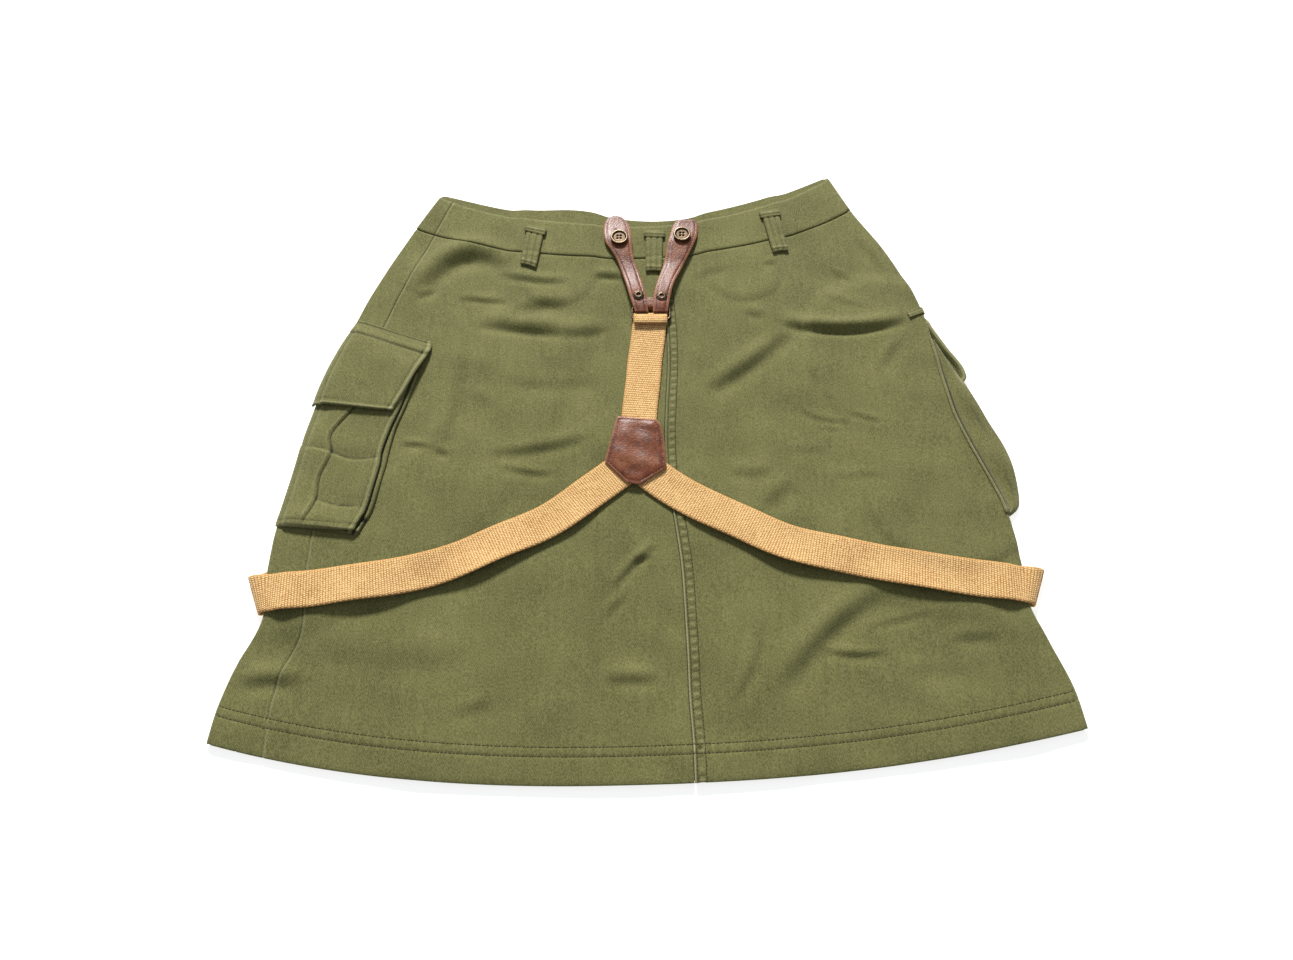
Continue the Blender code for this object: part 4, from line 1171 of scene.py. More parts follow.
@dataclass(frozen=True)
class LeftPocket:
    """The bellows pocket on the left side and its flap."""

    form: SkirtForm
    wall: float = 1.2
    flap_wall: float = 1.8
    depth: float = 5.2
    # y of the row at the outer edge and at the inner edge, x of the front's inner edge and x
    # of the line where the bellows is sewn down
    rows: Table = (
        (-87, -95, -242, -237.5), (-84, -91, -240, -235.5), (-66, -71, -232.5, -227.5),
        (-30, -36, -227, -222), (-12, -19, -226.5, -220.5), (8, 2, -222, -217.5),
        (24, 18, -217, -213), (40, 32, -213.5, -209.5), (74, 58, -207, -203.5),
    )
    # y at the outer edge and at the inner edge, x of the inner edge, lift
    flap_rows: Table = (
        (26, 18, -221, 7.6), (58, 40, -212, 7.5), (84, 60, -204, 7.4), (98, 72, -199, 5.4),
        (110, 84, -195, 1.8), (116, 90, -195, 1.6),
    )
    pleat: Table = ((-258, 19), (-272, -7), (-269, -21), (-276, -46), (-276, -64), (-283, -85))
    # Valleys that are soft above and sharp below
    cross_fold: Table = ((-293, -14), (-272, -19), (-252, -27), (-223, -25))
    low_fold: Table = ((-276, -64), (-256, -70), (-235, -71))

    def body(self) -> tuple[Array, Array]:
        """Lay the pocket: round the side fold, over the front and down the bellows to its seam."""
        form = self.form
        coarse = []
        for k, (outer_y, inner_y, front_x, sewn_x) in enumerate(self.rows):
            edge = float(form.side(form.height_at(np.array(-285.0), np.array(outer_y)), 1))
            flat = np.linspace(edge + 3.6, front_x, 6)
            gusset = [front_x + 0.9, sewn_x - 1.6, sewn_x]
            x = np.concatenate([[edge - 0.8, edge, edge + 1.3, edge + 2.6], flat, gusset])
            lift = np.full(len(x), self.depth)
            lift[[0, 1, -3, -2, -1]] = 2.2, 4.2, 2.6, 3.0, 1.6
            if k == 0:
                lift[:] = 1.7
            y = outer_y + (inner_y - outer_y) * np.clip((x - edge) / (front_x - edge), 0, 1)
            inner = np.clip((x - edge) / (sewn_x - edge), 0, 1)
            coarse.append(np.stack([x, y, lift, inner, x - front_x], axis=1))
        fine = refine(np.array(coarse), 1.5, 1.0)
        x, y, lift, inner, past = np.moveaxis(fine, -1, 0)
        low = y - (-88.0 - 6.0 * inner)
        gap, _, aside = distance_to_path(x, y, resample(self.pleat, 6.0))
        near = 1 - smooth_step(8, 22, gap)
        pleat = 1.2 * smooth_step(1.0, -1.0, aside) * near - 0.7 * bell(aside - 1.3, 1.1)
        valley, fold_shade = np.zeros(x.shape), np.zeros(x.shape)
        for path, deep in ((self.cross_fold, 2.0), (self.low_fold, 1.3)):
            gap, share, above = distance_to_path(x, y, resample(path, 6.0))
            fade = np.sin(np.pi * np.clip(share * 0.9 + 0.05, 0, 1)) ** 0.5
            valley = valley + deep * fade * np.exp(-((gap / np.where(above > 0, 8.5, 1.6)) ** 2))
            # Painted shade along each cross fold, spread wider on its upper side
            fold_shade = fold_shade + fade * (bell(gap, 1.3) + 0.7 * (above > 0) * bell(gap, 6.0))
        rim = bell(past + 1.8, 1.3)
        groove_shade = bell(past + 4.6, 0.8)
        bottom = bell(low - 2.0, 1.5)
        sewn = bell(low - 6.2, 0.8)
        hole = bell(np.hypot(x + 233.0, y + 83.0), 2.6)
        wave = 0.6 * np.sin(y / 12.0 + x / 29.0) * smooth_step(-300, -280, x)
        inside = smooth_step(0, 12, low) * (1 - smooth_step(-4, 0, past))
        detail = (pleat + wave - valley) * inside + 0.5 * rim - 0.35 * groove_shade + 0.5 * bottom - 0.3 * sewn
        # Painted shade in the gap beside the front, along the pleat's fold, in the sewn line, across the
        # folds, under the bottom edge and in the corner hole; the rims, the bottom roll and the pleat's
        # folded edge are paler
        wear = 0.5 * rim - 0.45 * groove_shade + 0.6 * bottom - 0.6 * sewn - 0.9 * bell(aside - 1.0, 0.7) * inside
        wear = wear + (0.45 * bell(aside + 2.4, 0.9) - 0.5 * fold_shade) * inside - 0.9 * bell(low, 0.7)
        wear = wear - 1.3 * bell(past - 1.1, 0.7) + 0.35 * bell(past - 3.0, 0.9) - 1.6 * hole
        return form.smooth_back(x, y, lift + detail - 0.8 * hole), wear

    def flap(self) -> tuple[Array, Array]:
        """Lay the flap: sewn at the top, standing off over the pocket, with a thick sewn edge."""
        form = self.form
        coarse = []
        for outer_y, inner_y, inner_x, lift in self.flap_rows:
            edge = float(form.side(form.height_at(np.array(-275.0), np.array(outer_y)), 1))
            x = np.concatenate([[edge, edge + 1.3, edge + 2.6], np.linspace(edge + 4.0, inner_x, 7)])
            inner = np.clip((x - edge) / (inner_x - edge), 0, 1)
            y = outer_y + (inner_y - outer_y) * inner
            coarse.append(np.stack([x, y, np.full(len(x), float(lift)), inner], axis=1))
        fine = refine(np.array(coarse), 1.5, 1.5)
        x, y, lift, inner = np.moveaxis(fine, -1, 0)
        rows = np.linspace(0, 1, fine.shape[0])[:, None] * 92.0
        from_side = (1 - inner) * (x[:, -1:] - x[:, :1])
        rim = bell(from_side - 1.2, 1.3) + bell(rows - 1.4, 1.4)
        groove_shade = bell(from_side - 4.4, 0.9) + bell(rows - 5.4, 0.9)
        band = smooth_step(76.5, 78.5, rows) * (1 - smooth_step(88.0, 90.0, rows))
        under = bell(rows - 77.0, 1.3) + bell(rows - 89.8, 1.2)
        rows_of_thread = bell(rows - 80.0, 0.9) + bell(rows - 86.6, 0.9)
        wave = 0.45 * np.sin(x / 9.0 + y / 26.0) * smooth_step(0, 10, rows) * (1 - band)
        knob = bell(np.hypot(x + 198.0, y - 87.5), 2.4)
        detail = 0.35 * rim - 0.35 * groove_shade + 0.7 * band - 0.5 * under + wave + 1.1 * knob
        # A painted shadow under the band's edges and along the flap's lower edge, painted shade in the sewn
        # lines, and a painted highlight on the knob; the rims are paler
        wear = 0.7 * rim - 0.6 * groove_shade + 0.2 * band - 1.0 * under - 0.4 * rows_of_thread + 0.5 * knob
        wear = wear - 0.7 * bell(rows, 0.6)
        return form.smooth_back(x, y, lift + detail), wear

    def build(self) -> list[bpy.types.Object]:
        """Build the pocket and its flap."""
        grid, wear = self.body()
        pocket = shell(grid, self.wall, wear=wear).make("left_pocket_cloth", Finish.TWILL, ["left_pocket"])
        grid, wear = self.flap()
        flap = shell(grid, self.flap_wall, True, wear=wear).make(
            "left_flap_cloth", Finish.TWILL, ["left_pocket_flap"]
        )
        return [pocket, flap]


@dataclass(frozen=True)
class RightPocket:
    """The bellows pocket on the right side, turned under, with its flap below it."""

    form: SkirtForm
    wall: float = 1.2
    width: float = 90.0
    flap_width: float = 88.0
    flap_lean: float = 12.0
    # y and x of the pocket's outer edge, then of the flap's
    rows: Table = (
        (-75.5, 299.5), (-71, 305), (-64, 308.3), (-50, 309.5), (-30, 308), (-9, 303), (14, 293.5),
        (28, 287.5), (43, 281), (50, 278), (61, 272.5), (76, 265.5), (94, 257.5),
    )
    flap_rows: Table = ((50, 276), (56, 280.5), (62, 280), (88, 267), (108, 257), (120, 251), (124, 246))
    # Ends of the flap's sewn top where it comes round the side on to the back
    sewn_top: tuple[float, float, float, float] = (236.0, 119.0, 254.0, 127.0)

    def body(self) -> tuple[Array, Array]:
        """Lay the pocket: from its seam at the side, over the bellows, and under on the floor."""
        form = self.form
        coarse = []
        for y, outer_x in self.rows:
            high = 1.7 * float(smooth_step(8.0, 40.0, y)) + self.wall / 2
            height = form.height_at(np.array(outer_x - 15.0), np.array(float(y)))
            edge, _, middle, radius = (float(part) for part in form.fold_size(1, height))
            top = middle + radius
            wide = outer_x - edge
            row = [
                (edge - 2.4, y, top + 0.7), (edge - 0.4, y, top - 0.2), (edge + 1.3, y, top - 2.4),
                (edge + 0.30 * wide + 1.2, y, high + 3.2), (edge + 0.62 * wide, y, high + 3.7),
                (outer_x - 0.14 * wide - 1.2, y, high + 3.0), (outer_x - 0.7, y, high + 2.1),
                (outer_x, y, high + 1.1), (outer_x - 1.2, y, high + 0.2),
            ]
            row += [(outer_x - 4.0 - s * (self.width - 4.0), y - 6.0 * s, high) for s in np.linspace(0, 1, 6)]
            coarse.append([(*(float(c) for c in point), float(k)) for k, point in enumerate(row)])
        fine = refine(np.array(coarse), 1.7, 1.2)
        grid, place = fine[..., :3], fine[..., 3]
        x, y = grid[..., 0], grid[..., 1]
        on_top = 1 - smooth_step(6.5, 7.5, place)
        # Patches of painted light and shade on the bellows, with small waves of the surface to match
        patches = np.sin(y / 8.0 + x / 13.0) * smooth_step(2.2, 3.5, place) * on_top
        mouth = smooth_step(44.0, 52.0, y) * bell(place - 5.6, 1.0)
        knob = bell(np.hypot(x - 296.0, y + 71.0), 2.2) * on_top
        grid[..., 2] += 0.5 * patches + 0.9 * knob
        # A painted black seam line with a paler strip beside it, painted shade along the bottom, and paler at
        # the mouth and on the knob
        wear = 0.5 * bell(place - 0.5, 0.5) - 1.5 * bell(place - 1.9, 0.30) - 0.35 * bell(place - 4.4, 0.3)
        wear = wear + 0.5 * mouth + 0.4 * knob + 0.25 * patches - 0.8 * bell(y + 74.5, 1.0) * on_top
        return grid, wear * on_top

    def flap(self) -> tuple[Array, Array]:
        """Lay the flap flat under the pocket, its thick outer edge raised at the side."""
        share = (np.linspace(0.0, 1.0, 76) ** 1.5)[None, :]
        knots = np.array(self.flap_rows, float)
        y = np.linspace(knots[0, 0], knots[-1, 0], 44)[:, None]
        x = smooth_through(knots[:, 0], knots[:, 1], y[:, 0])[:, None] - share * self.flap_width
        inside = share * self.flap_width
        raised = (1 - smooth_step(1.8, 6.0, inside)) * smooth_step(knots[-1, 0] + 4, knots[-1, 0] - 12, y)
        level = 0.6 + 4.2 * raised - 0.5 * bell(inside, 1.0) * raised
        grid = np.stack(np.broadcast_arrays(x, y - self.flap_lean * share, level), axis=-1)
        # A paler rim and painted shade in the sewn line
        wear = 0.6 * bell(inside - 1.6, 1.3) - 0.5 * bell(inside - 4.2, 0.8)
        return grid[:, ::-1], (wear + 0 * x)[:, ::-1]

    def top_band(self) -> Solid:
        """Lay the end of the flap's sewn top over the side fold, with two rows of stitches."""
        start_x, start_y, end_x, end_y = self.sewn_top
        share = np.linspace(0.0, 1.0, 26)[None, :]
        across = np.linspace(-2.8, 2.8, 13)[:, None]
        x = start_x + (end_x - start_x) * share - 0.3 * across
        y = start_y + (end_y - start_y) * share + across
        rows = bell(np.abs(across) - 1.5, 0.5) + 0 * x
        ends = bell(share, 0.05) + 0 * x
        grid = self.form.on_back(x, y, 1.6 - 0.25 * rows + 0.3 * ends)
        # Painted shade in the two sewn rows and along both sides; paler at the ends
        return shell(grid, 1.4, wear=0.35 - 0.5 * rows + 0.3 * ends - 0.3 * bell(np.abs(across) - 2.8, 0.5))

    def build(self) -> list[bpy.types.Object]:
        """Build the pocket and its flap."""
        grid, wear = self.body()
        pocket = shell(grid, self.wall, True, wear=wear).make(
            "right_pocket_cloth", Finish.TWILL, ["right_pocket"]
        )
        grid, wear = self.flap()
        flap = joined([shell(grid, self.wall, True, wear=wear), self.top_band()])
        flap = flap.make("right_flap_cloth", Finish.TWILL, ["right_pocket_flap"])
        return [pocket, flap]


@dataclass(frozen=True)
class Straps:
    """The webbing: the short back strap and the two long straps."""

    form: SkirtForm
    width: float = 30.0
    thick: float = 1.4
    lift: float = 2.0
    back: Table = ((1.5, 118), (-1, 92), (-3.5, 71), (-5, 51), (-8, 20), (-9, 2))
    left: Table = (
        (-22, -35), (-40.5, -50), (-81, -81.5), (-121, -101), (-160, -119.5),
        (-198.5, -130.5), (-238, -137), (-277, -142.5), (-300, -144.5),
    )
    right: Table = (
        (0.9, -38.4), (9.1, -45.1), (17.7, -51.6), (36.6, -63.8), (74.5, -83), (114, -102.5), (154, -112.5),
        (193.5, -121.5), (233, -128.5), (272, -134), (296, -137),
    )
    left_fold: Table = ((-319, -130), (-306, -160))
    right_fold: Table = ((315.5, -124), (303.5, -153))
    fold_top: float = 6.4
    shoulder: float = 8.4
    # Where a long strap arches off the cloth: x, half length, lift of its lower and upper edge
    left_waves: Table = (
        (-288, 13, 3.0, 1.4), (-224, 34, 4.6, 1.2), (-130, 38, 5.0, 1.0), (-60, 20, 2.0, 1.0),
    )
    right_waves: Table = ((283, 14, 3.0, 1.4), (216, 31, 4.2, 1.2), (114, 38, 5.0, 1.0), (52, 18, 1.6, 1.0))
    ring_level: float = 9.8
    bar_y: float = 117.4
    turn_radius: float = 2.1

    def edges(self, route: Any, width: float, step: float) -> tuple[Array, Array]:
        """Give the left and right edges of a ribbon along a smooth route."""
        points = resample(route, step)
        along = unit(np.gradient(points, axis=0))
        aside = np.stack([-along[:, 1], along[:, 0]], axis=1) * width / 2
        return points + aside, points - aside

    def side_rows(self, over: Table, fold: Table, under: Table, waves: Table, side: int) -> Array:
        """Lay a long strap: over the back, round a slanted fold at the side, and under.

        Args:
            over: its route over the back.
            fold: the two ends of the fold line.
            under: its route on the floor.
            waves: where it arches off the cloth.
            side: -1 for the left and 1 for the right.

        Returns:
            Rows of points along it, five across.
        """
        first, second = self.edges(over, self.width, 9.0)
        upper, lower = (second, first) if side < 0 else (first, second)
        share = np.linspace(0.0, 1.0, 7)
        plan = upper[:, None] + (lower - upper)[:, None] * share[None, :, None]
        grid = self.form.smooth_back(plan[..., 0], plan[..., 1], self.lift)
        for x, half, low, high in waves:
            grid[..., 2] += bell(grid[..., 0] - x, half) * (high + (low - high) * share ** 1.5)
        ends = np.asarray(fold, float)
        line = ends[0] + (ends[1] - ends[0]) * share[:, None]
        direction = ends[1] - ends[0]
        outward = np.array([-direction[1], direction[0]]) / math.hypot(*direction)
        outward = outward * (1.0 if outward[0] * side > 0 else -1.0)
        radius = (self.fold_top - self.thick / 2) / 2
        middle = self.thick / 2 + radius
        shoulder = grid[-1, :, :2] + (line - grid[-1, :, :2]) * 0.68
        bend = [np.concatenate([shoulder, np.full((7, 1), self.shoulder)], axis=1)]
        for angle in np.linspace(80.0, -90.0, 8):
            turn = math.radians(angle)
            out = line + outward * radius * math.cos(turn)
            bend.append(np.concatenate([out, np.full((7, 1), middle + radius * math.sin(turn))], axis=1))
        first, second = self.edges(under, self.width, 16.0)
        upper, lower = (first, second) if side < 0 else (second, first)
        plan = upper[:, None] + (lower - upper)[:, None] * share[None, :, None]
        floor = np.concatenate([plan, np.full(plan.shape[:2] + (1,), self.thick / 2)], axis=2)
        return np.concatenate([grid, np.array(bend), floor], axis=0)

    def ribbon(self, rows: Array, name: str, node: str) -> bpy.types.Object:
        """Make a strap of rows, with the distances along and across it for its weave, and painted shade along
        its edges.
        """
        grid = refine(rows, 3.0, 2.2)
        gaps = np.linalg.norm(np.diff(grid, axis=0), axis=-1)
        middle = gaps[:, gaps.shape[1] // 2]
        along = np.concatenate([[0.0], np.cumsum(middle)])[:, None] + np.zeros(grid.shape[:2])
        aside = np.linspace(0.0, self.width, grid.shape[1])[None, :] + np.zeros(grid.shape[:2])
        # Painted shade along both edges of the strap
        edge = bell(np.minimum(aside, self.width - aside), 0.8)
        solid = shell(grid, self.thick, True, along=along, aside=aside, wear=0.6 * edge)
        return solid.make(name, Finish.WEBBING, [node])

    def back_rows(self) -> Array:
        """Lay the short strap: its end folded over the ring's lower bar, then down the back."""
        first, second = self.edges(self.back, self.width - 0.6, 8.0)
        share = np.linspace(0.0, 1.0, 7)[None, :, None]
        plan = second[:, None] + (first - second)[:, None] * share
        base = self.form.smooth_back(plan[..., 0], plan[..., 1], self.lift - 0.4)
        lead = base[0]
        turn_rows = []
        for angle in (85.0, 60.0, 30.0, 0.0, -30.0, -60.0, -85.0):
            turn = math.radians(angle)
            row = lead.copy()
            row[:, 1] = self.bar_y + self.turn_radius * math.cos(turn)
            row[:, 2] = self.ring_level + self.turn_radius * math.sin(turn)
            turn_rows.append(row)
        tops = []
        for k, back in enumerate((9.0, 8.0, 6.5, 4.5, 2.5)):
            row = lead.copy()
            row[:, 1] = self.bar_y - back
            row[:, 2] = self.ring_level + self.turn_radius - (0.55, 0.3, -0.1, 0.25, 0.1)[k]
            tops.append(row)
        base = base[base[:, 0, 1] < self.bar_y - 3.0]
        blend = smooth_step(self.bar_y - 34.0, self.bar_y - 2.0, base[..., 1])
        base[..., 2] = base[..., 2] * (1 - blend) + (self.ring_level - self.turn_radius) * blend
        return np.concatenate([np.array(tops), np.array(turn_rows), base], axis=0)

    def build(self) -> list[bpy.types.Object]:
        form = self.form
        left = self.side_rows(self.left, self.left_fold, form.left_under, self.left_waves, -1)
        right = self.side_rows(self.right, self.right_fold, form.right_under, self.right_waves, 1)
        made = [
            self.ribbon(left, "left_strap_webbing", "left_strap"),
            self.ribbon(right, "right_strap_webbing", "right_strap"),
            self.ribbon(self.back_rows(), "back_strap_webbing", "back_strap"),
        ]
        return made


def inset_route(grid: Array, inset: float) -> Array:
    """Give the route that lies a set distance inside the sides and ends of a grid."""
    widths = np.linalg.norm(grid[:, -1] - grid[:, 0], axis=1)
    middle = grid[:, grid.shape[1] // 2]
    reach = np.concatenate([[0.0], np.cumsum(np.linalg.norm(np.diff(middle, axis=0), axis=1))])
    rows = np.flatnonzero((reach > inset) & (reach < reach[-1] - inset) & (widths > 2.4 * inset))
    place = inset / widths[rows] * (grid.shape[1] - 1)
    low = place.astype(int)
    part = (place - low)[:, None]
    near, far = (way[rows, low] * (1 - part) + way[rows, low + 1] * part for way in (grid, grid[:, ::-1]))
    return np.concatenate([near, far[::-1], near[:1]])


@dataclass(frozen=True)
class LeatherWork:
    """The two button tabs, the keeper round the ring and the yoke patch."""

    form: SkirtForm
    thick: float = 1.6
    lift: float = 1.9
    over_loop: float = 2.3
    foot_level: float = 13.5
    # Down each tab: y, x of its left side and x of its right side
    left_tab: Table = (
        (232, -34.5, -28.5), (230, -38, -25), (226, -40.5, -22), (220, -42, -19), (210, -42, -17.5),
        (200, -40, -16.5), (190, -34, -16), (180, -29, -14.5), (168, -25, -10.5), (152, -20.5, -6.5),
        (136, -16.5, -3), (119.5, -11.5, -1),
    )
    right_tab: Table = (
        (228.5, 31, 42), (227, 27.5, 44.5), (223, 24.5, 46), (215, 22, 46), (208, 20.5, 45),
        (200, 18.5, 42.5), (190, 17, 38.5), (180, 15.5, 34), (168, 12.5, 29), (152, 8, 22.5),
        (136, 5, 19), (119.5, 4.5, 16.5),
    )
    level_stops: tuple[float, ...] = (232, 218, 204, 190, 176, 164, 152, 142, 134, 126, 117)
    button_hole: tuple[float, float] = (-31.0, 214.5)
    yoke_rows: Table = (
        (0.00, -26.6, 13.7, 6.5, 9.8), (0.12, -28.7, 6.2, 10.0, 4.0), (0.35, -31.9, -8.7, 12.6, -10.8),
        (0.70, -36.6, -28.9, 14.3, -35.1), (1.00, -17.5, -48.5, -8.0, -50.0),
    )
    yoke_lift: float = 4.4
    ring_level: float = 9.8
    bar_y: float = 126.6
    stitch: tuple[float, float, float] = (2.6, 1.8, 0.5)

    def tab(self, sides: Table) -> tuple[Array, Array]:
        """Lay one tab: level across, on the band at its head and on the keeper at its foot.

        Args:
            sides: y and the two x down the tab.

        Returns:
            The grid of points and its marks of fading, painted highlight and painted shade.
        """
        rows = resample(sides, 1.3)
        y, left, right = rows.T
        stops = np.array(self.level_stops, float)
        middle = np.interp(stops, y[::-1], ((left + right) / 2)[::-1])
        lift = self.lift + self.over_loop * smooth_step(222, 205, stops)
        level = self.form.smooth_back(middle, stops, lift)[:, 2]
        foot = smooth_step(174, 142, stops)
        level = level * (1 - foot) + self.foot_level * foot - 1.2 * smooth_step(127, 117, stops)
        level = smooth_through(-stops, level, -y)[:, None]
        share = np.linspace(0.0, 1.0, 21)[None, :]
        x = right[:, None] + (left - right)[:, None] * share
        inside = np.minimum(np.minimum(share, 1 - share) * (right - left)[:, None], (y[0] + 1.2 - y)[:, None])
        across = np.abs(2 * share - 1)
        level = level + 0.4 * smooth_step(0, 4, inside) - 0.25 * bell(inside - 2.3, 0.55)
        level = level + 0.22 * np.sin(y[:, None] / 7.0 + x / 9.0) * smooth_step(2, 5, inside)
        # A painted highlight down the middle of the tab where it narrows, a paler rim, and painted shade in
        # the sewn line
        neck_highlight = bell(y - 190.0, 11.0)[:, None]
        wear = 0.45 * neck_highlight * (1 - across) + 0.75 * bell(inside, 0.7) - 0.45 * bell(inside - 2.3, 0.5)
        grid = np.stack(np.broadcast_arrays(x, y[:, None], level), axis=-1)
        return grid, wear

    def yoke(self) -> tuple[Array, Array]:
        """Lay the yoke: rows between its two sides, crowned, with soft dents."""
        rows = np.array(self.yoke_rows)
        share = np.linspace(0.0, 1.0, 52)
        left = np.stack([np.interp(share, rows[:, 0], rows[:, k]) for k in (1, 2)], axis=1)
        right = np.stack([np.interp(share, rows[:, 0], rows[:, k]) for k in (3, 4)], axis=1)
        across = np.linspace(0.0, 1.0, 40)[None, :, None]
        plan = right[:, None] + (left - right)[:, None] * across
        plan = plan[:, ::-1]
        x, y = plan[..., 0], plan[..., 1]
        width = (right[:, 0] - left[:, 0])[:, None]
        inside = np.minimum(np.minimum(across[..., 0], 1 - across[..., 0]) * width, 62.0 * share[:, None])
        inside = np.minimum(inside, (1 - share)[:, None] * 62.0)
        grid = self.form.smooth_back(x, y, self.yoke_lift)
        crown = smooth_step(0, 9, inside)
        dents = 0.55 * np.sin(x / 4.6 + y / 7.5) * np.sin(y / 6.2 - x / 9.0)
        grid[..., 2] += crown * (0.9 + dents) - 0.3 * bell(inside - 2.3, 0.7)
        # A painted highlight across the crown, painted shade in the sewn line and a paler rim
        wear = 0.4 * crown * bell(y + 30.0, 7.0) - 0.45 * bell(inside - 2.4, 0.6) + 0.7 * bell(inside, 0.8)
        return grid, wear

    def keeper(self) -> Array:
        """Lay the keeper: from under the tabs, over and round the ring's upper bar, and back."""
        radius = 0.9 + 0.35 + self.thick / 2
        x = np.linspace(-13.5, 16.5, 7)
        rows = [(self.bar_y + 7.0, radius), (self.bar_y + 3.0, radius), (self.bar_y, radius)]
        turns = np.radians([110.0, 140.0, 180.0, 220.0, 250.0])
        rows += [(self.bar_y + radius * math.cos(t), radius * math.sin(t)) for t in turns]
        rows += [(self.bar_y, -radius), (self.bar_y + 4.0, -radius), (self.bar_y + 12.0, -radius)]
        coarse = [np.stack([x, np.full(7, y), np.full(7, self.ring_level + z)], axis=1) for y, z in rows]
        return refine(np.array(coarse), 1.2, 1.5)

    def build(self) -> list[bpy.types.Object]:
        """Build the leather pieces."""
        made, routes = [], []
        for name, sides in (("left_button_tab", self.left_tab), ("right_button_tab", self.right_tab)):
            grid, wear = self.tab(sides)
            if sides is self.left_tab:
                gap = np.hypot(grid[..., 0] - self.button_hole[0], (grid[..., 1] - self.button_hole[1]))
                # Painted shade in the button hole
                wear = wear - 2.0 * bell(gap, 1.3)
                grid[..., 2] -= 0.7 * bell(gap, 1.2)
            routes.append(inset_route(grid, 2.3))
            made.append(shell(grid, self.thick, True, wear=wear).make(name + "_leather", Finish.HIDE, [name]))
        grid, wear = self.yoke()
        routes.append(inset_route(grid, 2.4))
        made.append(
            shell(grid, self.thick, True, wear=wear).make("yoke_leather", Finish.HIDE, ["yoke_patch"])
        )
        made.append(
            shell(self.keeper(), self.thick, True).make("keeper_leather", Finish.HIDE, ["leather_keeper"])
        )
        made.append(self.stitches(routes).make("leather_stitches", Finish.BROWN_THREAD))
        return made

    def stitches(self, routes: Sequence[Array]) -> Solid:
        """Sew round the rims of the leather, one grain of thread for each stitch."""
        parts = []
        pitch, length, width = self.stitch
        for route in routes:
            reach = np.concatenate([[0.0], np.cumsum(np.linalg.norm(np.diff(route, axis=0), axis=1))])
            at = np.arange(pitch / 2, reach[-1], pitch)
            middles = np.stack([np.interp(at, reach, route[:, k]) for k in range(3)], axis=1)
            ahead = np.stack([np.interp(at + 0.5, reach, route[:, k]) for k in range(3)], axis=1)
            up = np.broadcast_to([0.0, 0.0, 1.0], middles.shape)
            middles = middles + up * (self.thick / 2 + 0.12)
            parts.append(
                stitch_grains(middles, ahead - middles + up * (self.thick / 2 + 0.12), up, length, width)
            )
        return joined(parts)


